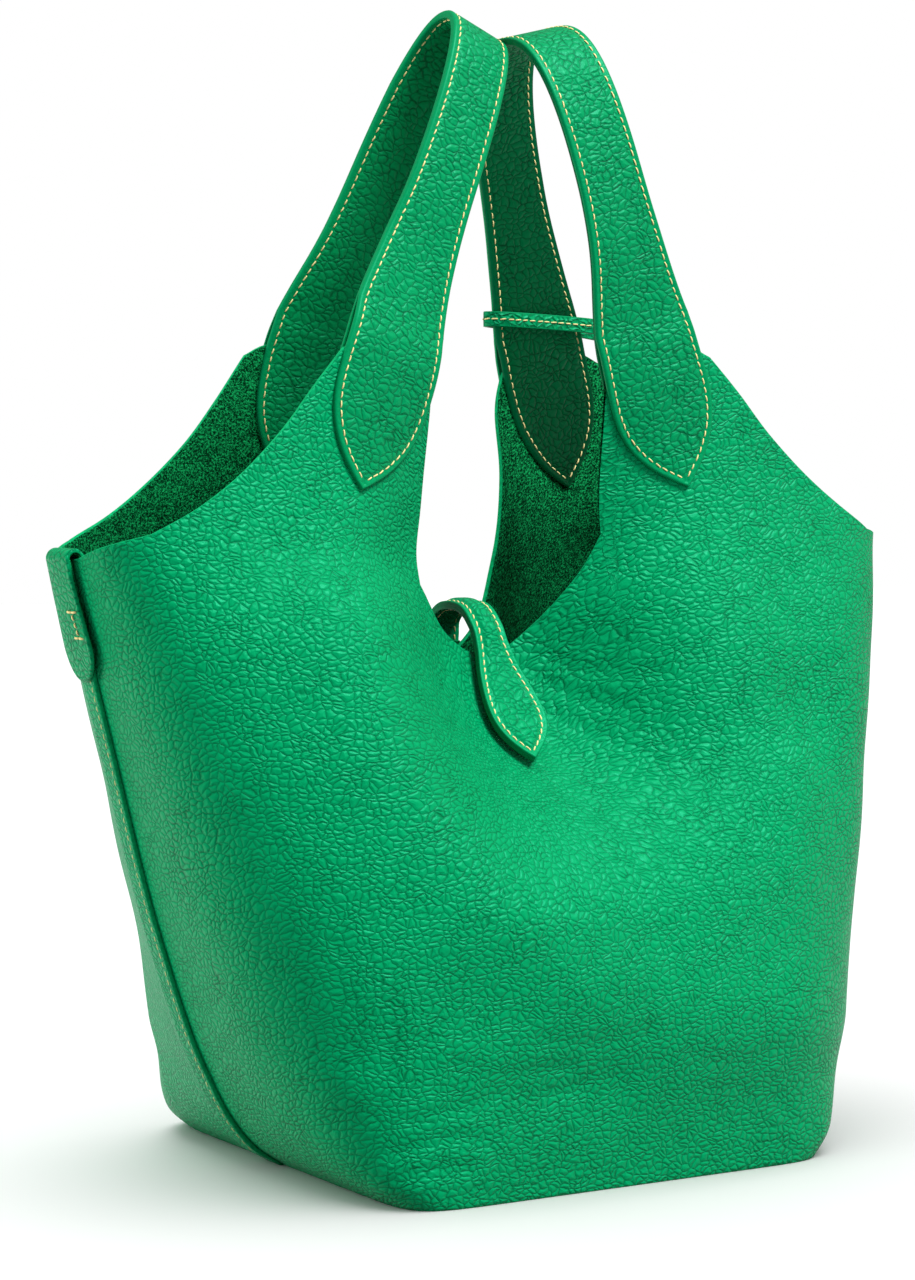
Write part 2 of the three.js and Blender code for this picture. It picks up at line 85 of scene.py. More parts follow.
# The body is a stack of superellipses |x/a|^n + |y/b|^n = 1. Each row is height, value.
HALF_WIDTH = [[0, 106], [12, 121], [45, 140.5], [100, 158.5], [180, 179], [268, 202], [380, 226]]
HALF_DEPTH = {
    "front": [[0, 111], [60, 111], [140, 102], [224, 78], [290, 52], [380, 45]],
    "back": [[0, 111], [30, 107], [60, 103], [140, 96], [224, 74], [290, 52], [380, 45]],
}
SQUARENESS = {
    "front": [[0, 12], [20, 6.5], [60, 4.6], [160, 4], [268, 4], [380, 4]],
    "back": [[0, 12], [20, 6], [60, 3.4], [160, 2.5], [268, 3.2], [380, 3.6]],
}
BASE_CORNER = HALF_WIDTH[0][1] / (HALF_WIDTH[0][1] + HALF_DEPTH["front"][0][1])
PINCH = dict(depth=0.82, width=62, start=110, full=235, ease=(260, 350), left=0.3)
SWAY = dict(shift=-10.5, width=85, start=100, full=230)
# The foot stands a little to the right of the mouth.
BASE_SHIFT = [[0, 4.8], [30, 3.4], [60, 2.4], [100, 0.7], [130, 0], [380, 0]]
SLIM = {
    -1: [[0, 1], [200, 1], [268, 0.992], [340, 1], [380, 1]],
    1: [[0, 1], [60, 1], [100, 0.995], [160, 0.993], [230, 0.988], [268, 0.984], [340, 1], [380, 1]],
}

# Top edge of a panel, from the side corner over the horn and down the middle cut, for each half.
SLOPE = [[186, 274.5], [165, 286], [145, 300], [125, 318], [109, 336], [94, 352]]
LOWER_SLOPE = [[186, 271], [165, 281], [145, 295], [125, 313], [109, 332], [94, 352]]
SLOPE_EDGE = {("front", -1): SLOPE, ("front", 1): SLOPE, ("back", -1): LOWER_SLOPE, ("back", 1): SLOPE}
HORN_TOP = [[82, 357], [62, 358], [52, 357]]
MIDDLE_CUT = {
    ("front", -1): [[44, 352], [42.8, 322], [47.4, 294], [50.3, 264], [34.5, 239], [13.5, 223.5], [0, 220]],
    ("front", 1): [[46, 352], [52, 322], [55, 294], [45, 264], [28, 239], [12, 223.5], [0, 220]],
    ("back", -1): [[46, 352], [46.5, 322], [46, 294], [41, 264], [27, 239], [12, 223.5], [0, 220]],
    ("back", 1): [[44, 352], [38, 330], [36.6, 300], [28, 264], [20.8, 239], [8, 223.5], [0, 220]],
}

# ---------------------------------------------------------------- small maths


def mix(a, b, t):
    return a + (b - a) * t


def smooth(t):
    t = np.clip(t, 0, 1)
    return t * t * (3 - 2 * t)


def unit(v):
    return v / np.maximum(np.linalg.norm(v, axis=-1, keepdims=True), 1e-9)


def through(rows, z):
    """Smooth curve through rows of height and value."""
    rows = np.array(rows, float)
    heights, values = rows[:, 0], rows[:, 1]
    steps = np.diff(values) / np.diff(heights)
    slopes = np.concatenate([steps[:1], (steps[1:] + steps[:-1]) / 2, steps[-1:]])
    z = np.clip(z, heights[0], heights[-1])
    i = np.clip(np.searchsorted(heights, z, side="right") - 1, 0, len(heights) - 2)
    d = heights[i + 1] - heights[i]
    t = (z - heights[i]) / d
    return ((2 * t**3 - 3 * t**2 + 1) * values[i] + (t**3 - 2 * t**2 + t) * d * slopes[i]
            + (3 * t**2 - 2 * t**3) * values[i + 1] + (t**3 - t**2) * d * slopes[i + 1])


def spline(points, count):
    """Catmull-Rom curve through the points, as count points evenly spread over its spans."""
    p = np.array(points, float)
    p = np.vstack([2 * p[0] - p[1], p, 2 * p[-1] - p[-2]])
    u = np.linspace(0, len(p) - 3, count)
    i = np.clip(u.astype(int), 0, len(p) - 4)
    t = (u - i)[:, None]
    a, b, c, d = p[i], p[i + 1], p[i + 2], p[i + 3]
    return 0.5 * (2 * b + (c - a) * t + (2 * a - 5 * b + 4 * c - d) * t**2 + (3 * b - a - 3 * c + d) * t**3)


def resample(points, step, closed=False):
    """The same path as points about step apart, with unit tangents and distances along it."""
    p = np.vstack([points, points[:1]]) if closed else np.array(points, float)
    along = np.concatenate([[0], np.cumsum(np.linalg.norm(np.diff(p, axis=0), axis=1))])
    count = max(int(round(along[-1] / step)), 2) + 1
    s = np.linspace(0, along[-1], count)
    if closed:
        s = s[:-1]
    at = np.stack([np.interp(s, along, p[:, k]) for k in range(p.shape[1])], axis=1)
    if closed:
        tangent = unit(np.roll(at, -1, axis=0) - np.roll(at, 1, axis=0))
    else:
        tangent = unit(np.gradient(at, axis=0))
    return at, tangent, s


# ---------------------------------------------------------------- the leather wall
WALL_HEIGHTS = np.arange(0, 382.0)
QUARTER_SHARES = np.linspace(0, 1, 161)


def quarter_table(face):
    """For each height, points of a quarter outline at even shares of its length, and that length."""
    angle = np.linspace(0, math.pi / 2, 241)
    c, s = np.cos(angle), np.sin(angle)
    xs, ys, lengths = [], [], []
    for z in WALL_HEIGHTS:
        a, b, n = (through(rows, z) for rows in (HALF_WIDTH, HALF_DEPTH[face], SQUARENESS[face]))
        r = ((c / a) ** n + (s / b) ** n) ** (-1 / n)
        x, y = r * c, r * s
        along = np.concatenate([[0], np.cumsum(np.hypot(np.diff(x), np.diff(y)))])
        lengths.append(along[-1])
        share = along / along[-1]
        xs.append(np.interp(QUARTER_SHARES, share, x))
        ys.append(np.interp(QUARTER_SHARES, share, y))
    return np.array(xs), np.array(ys), np.array(lengths)


TABLES = {face: quarter_table(face) for face in ("front", "back")}


def half_length(z, face):
    return np.interp(z, WALL_HEIGHTS, TABLES[face][2])


def on_quarter(share, z, face):
    xs, ys, _ = TABLES[face]
    fz = np.clip(z, 0, WALL_HEIGHTS[-1] - 1e-6)
    fs = np.clip(share, 0, 1 - 1e-9) * (len(QUARTER_SHARES) - 1)
    i, j = fz.astype(int), fs.astype(int)
    i = np.minimum(i, len(WALL_HEIGHTS) - 2)
    tz, ts = fz - i, fs - j
    return [mix(mix(g[i, j], g[i, j + 1], ts), mix(g[i + 1, j], g[i + 1, j + 1], ts), tz) for g in (xs, ys)]


def wall(w, z, face):
    """Middle of the leather, w along the wall from the centre line, at height z."""
    w, z = np.broadcast_arrays(np.asarray(w, float), np.asarray(z, float))
    other = "back" if face == "front" else "front"
    over = np.abs(w) - half_length(z, face)
    here = on_quarter(-over / half_length(z, face), z, face)
    past = on_quarter(over / half_length(z, other), z, other)
    x, y = (np.where(over > 0, b, a) for a, b in zip(here, past))
    sign = -1 if face == "front" else 1
    outward = np.where(over > 0, -sign, sign)
    eased = mix(1, PINCH["left"], smooth((z - PINCH["ease"][0]) / (PINCH["ease"][1] - PINCH["ease"][0])))
    pinch = (PINCH["depth"] * np.exp(-(x / PINCH["width"]) ** 2)
             * smooth((z - PINCH["start"]) / (PINCH["full"] - PINCH["start"])) * eased)
    sway = (SWAY["shift"] * np.exp(-(x / SWAY["width"]) ** 2)
            * smooth((z - SWAY["start"]) / (SWAY["full"] - SWAY["start"])))
    x = np.where(w < 0, -x * through(SLIM[-1], z), x * through(SLIM[1], z)) + sway + through(BASE_SHIFT, z)
    return np.stack([x, outward * y * (1 - pinch), z], axis=-1)


LEVEL_BELOW = 14  # under this height the outward direction turns level towards the foot


def wall_normal(w, z, face):
    low = np.maximum(z - 0.5, 0)
    along_w = wall(w + 0.5, z, face) - wall(w - 0.5, z, face)
    along_z = wall(w, low + 1, face) - wall(w, low, face)
    normal = unit(np.cross(along_w, along_z) * (1 if face == "front" else -1))
    normal[..., 2] *= smooth(z / LEVEL_BELOW)
    return unit(normal)


def on_wall(w, z, n, face):
    """A point n outside the middle of the leather."""
    w, z = np.broadcast_arrays(np.asarray(w, float), np.asarray(z, float))
    return wall(w, z, face) + wall_normal(w, z, face) * np.asarray(n)[..., None]


def wall_at(x, z, face):
    """Distance along the wall of the point whose x is given."""
    w = np.array(x, float)
    for _ in range(12):
        w = w + x - wall(w, z, face)[..., 0]
    return w


# ---------------------------------------------------------------- mesh building
def build(name, points, faces, materials, face_material=None, grain=None):
    """A smooth-shaded object from points in millimetres. Grain holds u, v and how deep the grain is."""
    mesh = bpy.data.meshes.new(name)
    mesh.from_pydata((np.asarray(points) * MM).tolist(), [], [list(map(int, f)) for f in faces])
    for material in materials:
        mesh.materials.append(material)
    if face_material is not None:
        mesh.polygons.foreach_set("material_index", np.asarray(face_material, np.int32))
    mesh.polygons.foreach_set("use_smooth", np.ones(len(mesh.polygons), bool))
    if grain is not None:
        attribute = mesh.attributes.new("grain", "FLOAT_VECTOR", "POINT")
        flat = np.ones((len(points), 3), np.float32)
        flat[:, :np.shape(grain)[1]] = grain
        attribute.data.foreach_set("vector", flat.ravel())
    mesh.validate()
    mesh.update()
    piece = bpy.data.objects.new(name, mesh)
    bpy.context.scene.collection.objects.link(piece)
    return piece


RIM = [(0.12, 0.7), (0.35, 1.0), (0.65, 1.0), (0.88, 0.7)]  # share of the thickness, share of the lip


def slab(name, top, bottom, grain, materials, lip=0.3, edge_faces=None):
    """A closed sheet between two grids of points. Material 0 is on top, 1 below, 2 on the rim."""
    rows, cols = top.shape[:2]
    count = rows * cols
    index = np.arange(count).reshape(rows, cols)
    loop = np.concatenate([index[0, :], index[1:, -1], index[-1, -2::-1], index[-2:0:-1, 0]])
    outward = np.zeros_like(top)
    outward[0] += unit(top[0] - top[1])
    outward[-1] += unit(top[-1] - top[-2])
    outward[:, 0] += unit(top[:, 0] - top[:, 1])
    outward[:, -1] += unit(top[:, -1] - top[:, -2])
    out = unit(outward.reshape(-1, 3)[loop])
    flat_top, flat_bottom = top.reshape(-1, 3), bottom.reshape(-1, 3)
    rings = [mix(flat_top[loop], flat_bottom[loop], share) + out * lip * reach for share, reach in RIM]
    points = np.vstack([flat_top, flat_bottom, *rings])
    quad = np.stack([index[:-1, :-1], index[:-1, 1:], index[1:, 1:], index[1:, :-1]], axis=-1).reshape(-1, 4)
    ring = np.arange(len(loop))
    levels = [loop] + [2 * count + k * len(loop) + ring for k in range(len(RIM))] + [loop + count]
    rim = [np.stack([b, np.roll(b, -1), np.roll(a, -1), a], axis=-1) for a, b in zip(levels, levels[1:])]
    faces = np.vstack([quad, quad[:, ::-1] + count, *rim])
    which = np.concatenate([np.zeros(len(quad)), np.ones(len(quad)), np.full(len(faces) - 2 * len(quad), 2)])
    if edge_faces is not None:
        which[:len(quad)][edge_faces.reshape(-1)] = 2
    a, b, c = (points[faces[:, k]] for k in (0, 1, 2))
    if np.einsum("ij,ij->i", a, np.cross(b, c)).sum() < 0:
        faces = faces[:, ::-1]
    uv = grain.reshape(-1, grain.shape[-1])
    return build(name, points, faces, materials, which, np.vstack([uv, uv] + [uv[loop]] * len(RIM)))


# ---------------------------------------------------------------- stitches
STITCH_SIDES = 7
STITCH_STATIONS = [(-1.0, -0.9, 0.5), (-0.82, -0.1, 0.85), (-0.4, 0.32, 1.0), (0.0, 0.42, 1.02),
                   (0.4, 0.32, 1.0), (0.82, -0.1, 0.85), (1.0, -0.9, 0.5)]  # along, height, width


def stitch_row(path, normals, pitch, length, radius, slant=7.0, seed=1):
    """Points and faces of stitches along a path, each a short thread that dips in at both ends."""
    rng = np.random.default_rng(seed)
    dense, _, _ = resample(np.hstack([path, normals]), 0.4)
    steps = np.linalg.norm(np.diff(dense[:, :3], axis=0), axis=1)
    along = np.concatenate([[0], np.cumsum(steps)])
    count = max(int(along[-1] / pitch), 1)
    centres = (np.arange(count) + 0.5) * along[-1] / count
    centres = centres + rng.normal(0, 0.04 * pitch, count)
    at, ahead = (np.stack([np.interp(centres + d, along, dense[:, k]) for k in range(6)], axis=1)
                 for d in (0.0, 0.3))
    behind = np.stack([np.interp(centres - 0.3, along, dense[:, k]) for k in range(3)], axis=1)
    tangent = unit(ahead[:, :3] - behind)
    normal = unit(at[:, 3:])
    side = unit(np.cross(normal, tangent))
    turn = np.radians(slant + rng.normal(0, 2.5, count))[:, None]
    tangent = tangent * np.cos(turn) + side * np.sin(turn)
    side = unit(np.cross(normal, tangent))
    angles = np.arange(STITCH_SIDES) / STITCH_SIDES * 2 * math.pi
    half = (length * (1 + rng.normal(0, 0.05, count)) / 2)[:, None, None]
    rings = []
    for reach, lift, width in STITCH_STATIONS:
        centre = (at[:, None, :3] + tangent[:, None] * half * reach + normal[:, None] * lift * radius)
        rings.append(centre + side[:, None] * (np.cos(angles) * radius * width)[None, :, None]
                     + normal[:, None] * (np.sin(angles) * radius * width * 0.85)[None, :, None])
    points = np.stack(rings, axis=1).reshape(-1, 3)
    k, per = np.arange(STITCH_SIDES), STITCH_SIDES * len(STITCH_STATIONS)
    after = (k + 1) % STITCH_SIDES
    starts = np.arange(0, per - STITCH_SIDES, STITCH_SIDES)
    one = np.vstack([np.stack([r + k, r + after, r + STITCH_SIDES + after, r + STITCH_SIDES + k], axis=-1)
                     for r in starts])[:, ::-1]
    faces = [f for i in range(count) for f in (one + i * per).tolist()]
    for i in range(count):
        faces.append((i * per + k).tolist())
        faces.append((i * per + per - STITCH_SIDES + k)[::-1].tolist())
    return points, faces


def stitches(name, rows, material):
    """One object from several stitch rows."""
    points, faces, base = [], [], 0
    for p, f in rows:
        points.append(p)
        faces += [[v + base for v in face] for face in f]
        base += len(p)
    piece = build(name, np.vstack(points), faces, [material])
    return piece


# ---------------------------------------------------------------- materials
class Nodes:
    """A small helper to write a material's node tree."""

    def __init__(self, name):
        self.material = bpy.data.materials.new(name)
        self.material.use_nodes = True
        self.tree = self.material.node_tree
        self.shader = self.tree.nodes["Principled BSDF"]

    def put(self, socket, value):
        """Link a node's output to a socket, or write a plain value on it."""
        if isinstance(value, bpy.types.NodeSocket):
            self.tree.links.new(value, socket)
        else:
            socket.default_value = value

    def add(self, kind, inputs=(), **settings):
        node = self.tree.nodes.new(kind)
        for key, value in settings.items():
            setattr(node, key, value)
        for key, value in dict(inputs).items():
            self.put(node.inputs[key], value)
        return node

    def math(self, operation, a, b=0.0, c=0.0, clamp=False):
        return self.add("ShaderNodeMath", {0: a, 1: b, 2: c}, operation=operation, use_clamp=clamp).outputs[0]

    def vector(self, operation, a, b):
        return self.add("ShaderNodeVectorMath", {0: a, 1: b}, operation=operation).outputs[0]

    def remap(self, value, low, high, to_low=0.0, to_high=1.0):
        return self.add("ShaderNodeMapRange", {"Value": value, "From Min": low, "From Max": high,
                                               "To Min": to_low, "To Max": to_high},
                        interpolation_type="SMOOTHSTEP").outputs["Result"]

    def blend(self, factor, a, b):
        node = self.add("ShaderNodeMix", {"Factor": factor}, data_type="RGBA")
        self.put(node.inputs[6], a)
        self.put(node.inputs[7], b)
        return node.outputs[2]

    def noise(self, vector, scale, detail=2.0, roughness=0.5):
        inputs = {"Vector": vector, "Scale": scale, "Detail": detail, "Roughness": roughness}
        return self.add("ShaderNodeTexNoise", inputs)

    def bump(self, height, strength, distance):
        return self.add("ShaderNodeBump", {"Height": height, "Strength": strength,
                                           "Distance": distance}).outputs["Normal"]

    def set(self, **values):
        """Set the shader's inputs, named with _ for each space."""
        for key, value in values.items():
            self.put(self.shader.inputs[key.replace("_", " ")], value)
        return self.material


def rgb(r, g, b):
    """Linear colour from 0-255 display values."""
    def linear(v):
        v /= 255
        return v / 12.92 if v <= 0.04045 else ((v + 0.055) / 1.055) ** 2.4
    return (linear(r), linear(g), linear(b), 1.0)


GREEN_SHEEN = (0.02, 1.0, 0.62, 1.0)  # tint of the reflections on dyed leather


def grain_leather(name, colour, painted_shade_and_tone, cell=(3.6, 2.5), depth=0.22, roughness=0.42, painted_shade_reach=0.45):
    """Pebbled leather: rounded cells wider than tall, thin creases, a few long wrinkles, and pores, with
    painted shade darkening the creases.
    """
    n = Nodes(name)
    grain = n.add("ShaderNodeAttribute", attribute_name="grain").outputs["Vector"]
    relief = n.add("ShaderNodeSeparateXYZ", {0: grain}).outputs["Z"]
    flat = n.vector("MULTIPLY", grain, (1.0, 1.0, 0.0))
    warp = n.noise(flat, 0.1, 2.0, 0.5).outputs["Color"]
    moved = n.vector("ADD", warp, (-0.5, -0.5, -0.5))
    moved = n.vector("MULTIPLY", moved, (7.0, 7.0, 0.0))
    bent = n.vector("ADD", flat, moved)

    def edge_distance(size, randomness):
        at = n.vector("MULTIPLY", bent, (1 / size[0], 1 / size[1], 0.0))
        return n.add("ShaderNodeTexVoronoi", {"Vector": at, "Scale": 1.0, "Randomness": randomness},
                     voronoi_dimensions="2D", feature="DISTANCE_TO_EDGE").outputs["Distance"]

    pebble = edge_distance(cell, 0.9)
    dome = n.remap(pebble, -0.06, 0.46)
    thin = n.remap(pebble, 0.0, 0.12)
    fine = n.remap(edge_distance((cell[0] * 0.52, cell[1] * 0.6), 1.0), -0.05, 0.45)
    split = n.remap(n.noise(flat, 0.08, 2.0).outputs["Fac"], 0.42, 0.65, 0.05, 0.3)
    wrinkle = n.remap(edge_distance((cell[0] * 4.4, cell[1] * 2.6), 1.0), 0.0, 0.1)
    patches = n.remap(n.noise(flat, 0.022, 1.0).outputs["Fac"], 0.5, 0.64, 0.0, 0.32)

    def part(value, amount):
        """A height that is lowered by the amount where the value is low."""
        return n.math("MULTIPLY", n.math("SUBTRACT", value, 1.0), amount)

    mixed = n.math("ADD", n.math("ADD", n.math("MULTIPLY", dome, 0.86), n.math("MULTIPLY", thin, 0.14)),
                   n.math("ADD", part(fine, split), part(wrinkle, patches)))
    swell = n.noise(flat, 0.22, 2.0).outputs["Fac"]
    pores = n.noise(flat, 2.0, 2.0, 0.6).outputs["Fac"]
    height = n.math("ADD", mixed, n.math("MULTIPLY", pores, 0.06))
    height = n.math("ADD", height, n.math("MULTIPLY", swell, 0.5))
    height = n.math("MULTIPLY", height, relief)
    bump = n.bump(height, 1.0, depth * MM * 2)
    tone = n.noise(flat, 0.018, 2.0).outputs["Fac"]
    # Painted shade: the base colour darkens in the creases between the cells.
    raised = n.math("SUBTRACT", 1.0, n.remap(mixed, -0.25, painted_shade_reach))
    painted_crease_shade = n.math("SUBTRACT", 1.0, n.math("MULTIPLY", relief, raised))
    shade = n.blend(painted_crease_shade, painted_shade_and_tone, colour)
    # Random tone patches lean a little towards the same darker colour.
    shade = n.blend(n.math("MULTIPLY", n.remap(tone, 0.35, 0.7), 0.1), shade, painted_shade_and_tone)
    rough = n.remap(pores, 0.3, 0.7, roughness - 0.04, roughness + 0.08)
    return n.set(Normal=bump, Base_Color=shade, Roughness=rough, Specular_IOR_Level=0.17,
                 Specular_Tint=GREEN_SHEEN)


def suede(name):
    n = Nodes(name)
    flat = n.add("ShaderNodeAttribute", attribute_name="grain").outputs["Vector"]
    fibres = n.noise(flat, 0.95, 5.0, 0.8).outputs["Fac"]
    clumps = n.noise(flat, 0.25, 4.0, 0.6).outputs["Fac"]
    value = n.math("ADD", n.math("MULTIPLY", fibres, 0.85), n.math("MULTIPLY", clumps, 0.15))
    colour = n.blend(n.remap(value, 0.46, 0.6), rgb(0, 26, 8), rgb(16, 140, 76))
    bump = n.bump(value, 1.0, 0.7 * MM)
    return n.set(Normal=bump, Base_Color=colour, Roughness=0.95, Specular_IOR_Level=0.06,
                 Specular_Tint=GREEN_SHEEN)


def plain(name, colour, roughness, metallic=0.0, speckle=0.6, scale=600.0, depth=0.05, sheen=None):
    """Edges, thread, board and metal: one colour with a fine uneven surface."""
    n = Nodes(name)
    place = n.add("ShaderNodeTexCoord").outputs["Object"]
    spots = n.noise(place, scale, 3.0, 0.6).outputs["Fac"]
    darker = tuple(c * speckle for c in colour[:3]) + (1.0,)
    bump = n.bump(spots, 0.6, depth * MM)
    shade = n.blend(n.remap(spots, 0.3, 0.7), darker, colour)
    if sheen is not None:
        n.set(Specular_IOR_Level=0.16, Specular_Tint=sheen)
    return n.set(Normal=bump, Base_Color=shade, Roughness=roughness, Metallic=metallic)


GREEN = rgb(0, 114, 68)
# Darker green: painted shade in the creases of the grain, and random tone patches.
PAINTED_SHADE_AND_TONE = rgb(0, 82, 46)
SHELL = grain_leather("shell_leather", GREEN, PAINTED_SHADE_AND_TONE)
# The straps' greens are a little darker than the shell's: painted shade, as the handles up top get less
# light.
STRAP = grain_leather("strap_leather", rgb(0, 107, 62), rgb(0, 72, 39), cell=(4.1, 2.9), depth=0.21)
# A copy of the strap leather, a shade darker: painted shade on the inner layers, which face each other in
# shade.
SHADED_LINING = grain_leather("strap_lining", rgb(0, 106, 58), rgb(0, 70, 35), cell=(4.1, 2.9), depth=0.21)
TAB = grain_leather("tab_leather", GREEN, PAINTED_SHADE_AND_TONE, cell=(3.9, 2.8), depth=0.27)
SUEDE = suede("suede")
CUT_EDGE = plain("cut_edge", rgb(4, 128, 76), 0.8, depth=0.25, sheen=GREEN_SHEEN)
PAINTED_EDGE = plain("painted_edge", rgb(0, 104, 60), 0.45, speckle=0.88, sheen=GREEN_SHEEN)
THREAD = plain("thread", rgb(198, 182, 122), 0.75, speckle=0.62, scale=1500)
STEEL = plain("snap_steel", rgb(205, 203, 196), 0.28, 1.0, 0.85)
BOARD = plain("base_board", rgb(80, 76, 68), 0.9)


# ---------------------------------------------------------------- body panels
def top_edge(face, side):
    """x, z and foot of the points of half a top edge, from the side corner to the centre."""
    slope, cut = SLOPE_EDGE[face, side], MIDDLE_CUT[face, side]
    parts = [(slope, 66, (1, 0.7)), ([slope[-1], *HORN_TOP, cut[0]], 22, (0.7, 0.56)), (cut, 84, (0.56, 0))]
    rows = []
    for points, count, (a, b) in parts:
        at = spline(points, count)
        foot = np.linspace(a, b, count)[:, None]
        rows.append(np.hstack([at, foot])[1 if rows else 0:])
    return np.vstack(rows)


def share_of(x, z, face):
    """Share of the half wall, from the centre to the seam, at which x is reached before the sway."""
    shares = np.linspace(0, 1, 400)
    found = []
    for px, pz in zip(x, z):
        xs, _ = on_quarter(1 - shares, np.full_like(shares, pz), face)
        found.append(np.interp(px, xs, shares))
    return np.array(found)


def half_columns(face, side):
    """Low share, high share, inset and top of each column from the seam to the centre."""
    edge = top_edge(face, side)
    high = share_of(edge[:, 0], edge[:, 1], face)
    side_height = MOUTH_SIDE_HEIGHT[side]
    length = half_length(side_height, face)
    reach = (1 - high[0]) * length
    flat = SIDE_CORNER_FLAT[face]

    def top_at(inset):
        t = np.clip((inset - flat) / (reach - flat), 0, 1)
        return mix(side_height, edge[0, 1], t)

    first = -SEAM_LAP if face == "front" else 0.0
    last = SEAM_LAP if face == "front" else SEAM_LAP + LAP_EASE
    inset = np.arange(first, last + 0.1, 1.5)
    seam = [dict(inset=i, top=top_at(i)) for i in inset]
    t = np.linspace(last / reach, 1, 20)[1:-1]
    corner = [dict(low=mix(1, edge[0, 2] * BASE_CORNER, 1 - (1 - k) ** 1.6), high=mix(1, high[0], k),
                   top=top_at(reach * k)) for k in t]
    rest = [dict(low=e[2] * BASE_CORNER, high=h, top=e[1]) for e, h in zip(edge, high)]
    return [dict(c, side=side) for c in seam + corner + rest]


PANEL_ROWS = 190
GATHER = dict(w=-22.0, z=194.0, reach=46.0, strength=0.5)  # where the closure draws the leather in


def gathered(w, z):
    """Coordinates of the grain, whose cells are finest around the gather."""
    dw, dz = w - GATHER["w"], z - GATHER["z"]
    scale = 1 + GATHER["strength"] * np.exp(-(dw**2 + dz**2) / GATHER["reach"] ** 2)
    return np.stack([GATHER["w"] + dw * scale, GATHER["z"] + dz * scale], axis=-1)


# Broad folds as lines over the wall: w and z of their points, height at the middle, and width.
FOLDS = {
    "front": [
        ([[-100, 226], [-90, 190], [-72, 148], [-42, 104], [10, 75], [84, 68]], 5.5, 30),
        ([[24, 186], [70, 178], [118, 192]], -5.0, 27),
        ([[-122, 270], [-88, 266], [-58, 266]], -4.2, 19),
        ([[-108, 262], [-106, 222], [-98, 186]], 3.6, 30),
        ([[-190, 236], [-170, 190], [-150, 130]], -1.6, 28),
        ([[120, 250], [134, 180], [128, 120]], -2.2, 20),
        ([[-120, 62], [-70, 46], [-10, 44]], -1.4, 13),
    ],
    "back": [
        ([[110, 255], [90, 200], [60, 150], [10, 112], [-70, 96]], 4.5, 30),
        ([[-30, 190], [-90, 182], [-130, 200]], -3.5, 26),
        ([[120, 120], [92, 76], [50, 56]], -1.4, 20),
        ([[-130, 215], [-120, 150], [-96, 90]], 1.6, 30),
    ],
}
# Short creases in the walls, as lines, heights and widths.
CREASE_DEPTH = 0.4
CREASES = {
    "front": [
        ([[-112, 13], [-96, 17], [-78, 16]], -0.9, 2.6), ([[-110, 24], [-92, 29], [-70, 27]], -1.0, 2.8),
        ([[-104, 36], [-86, 40], [-66, 44]], -0.8, 2.6), ([[-84, 58], [-58, 52], [-30, 54]], -0.9, 3.0),
        ([[-70, 48], [-46, 43], [-22, 45]], -0.7, 2.6), ([[-44, 66], [-18, 62], [8, 65]], -0.6, 3.0),
        ([[98, 12], [84, 20], [72, 34]], -0.8, 3.0), ([[-118, 40], [-112, 60], [-110, 84]], -0.7, 3.4),
        ([[30, 52], [54, 48], [78, 52]], -0.6, 3.0), ([[-30, 214], [-44, 206], [-62, 202]], -0.7, 2.4),
        ([[-28, 204], [-40, 194], [-56, 186]], -0.6, 2.4), ([[16, 214], [30, 204], [48, 198]], -0.9, 2.6),
        ([[12, 204], [28, 190], [50, 178]], -0.8, 2.6), ([[20, 220], [40, 214], [62, 212]], -0.8, 2.6),
    ],
    "back": [
        ([[104, 16], [86, 20], [66, 18]], -0.9, 2.8), ([[100, 34], [78, 38], [56, 36]], -0.8, 2.8),
        ([[-96, 22], [-80, 32], [-72, 46]], -0.8, 3.0), ([[-20, 58], [10, 54], [40, 58]], -0.7, 3.0),
        ([[-16, 176], [-34, 168], [-52, 166]], -0.7, 2.6), ([[14, 176], [34, 166], [54, 164]], -0.7, 2.6),
    ],
}
RIPPLES = dict(count=9, length=(40, 90), height=0.1)


def distance_to(line, w, z):
    """Distance from each place to a line over the wall."""
    line = spline(line, 26)
    nearest = np.full(w.shape, 1e9)
    for (w0, z0), (w1, z1) in zip(line, line[1:]):
        dw, dz = w1 - w0, z1 - z0
        t = np.clip(((w - w0) * dw + (z - z0) * dz) / (dw * dw + dz * dz), 0, 1)
        nearest = np.minimum(nearest, np.hypot(w - w0 - t * dw, z - z0 - t * dz))
    return nearest


def drape(w, z, face):
    """How far the soft leather stands out from the plain wall."""
    out = np.zeros_like(z)
    for line, height, width in FOLDS[face]:
        out = out + height * np.exp(-(distance_to(line, w, z) / width) ** 2)
    for line, height, width in CREASES[face]:
        d = distance_to(line, w, z)
        beside = 0.5 * np.exp(-((d - 2.4 * width) / width) ** 2)
        out = out + CREASE_DEPTH * height * (np.exp(-(d / width) ** 2) - beside)
    rng = np.random.default_rng(4 if face == "front" else 9)
    for _ in range(RIPPLES["count"]):
        length, turn, phase = rng.uniform(*RIPPLES["length"]), rng.uniform(0, math.pi), rng.uniform(0, 6.28)
        across = w * math.cos(turn) + z * math.sin(turn)
        out = out + RIPPLES["height"] * np.sin(across * 2 * math.pi / length + phase)
    seam = smooth((half_length(z, face) - np.abs(w) - 6) / 26)
    foot, rim = smooth(z / 14), smooth((300 - z) / 40)
    return out * seam * foot * rim


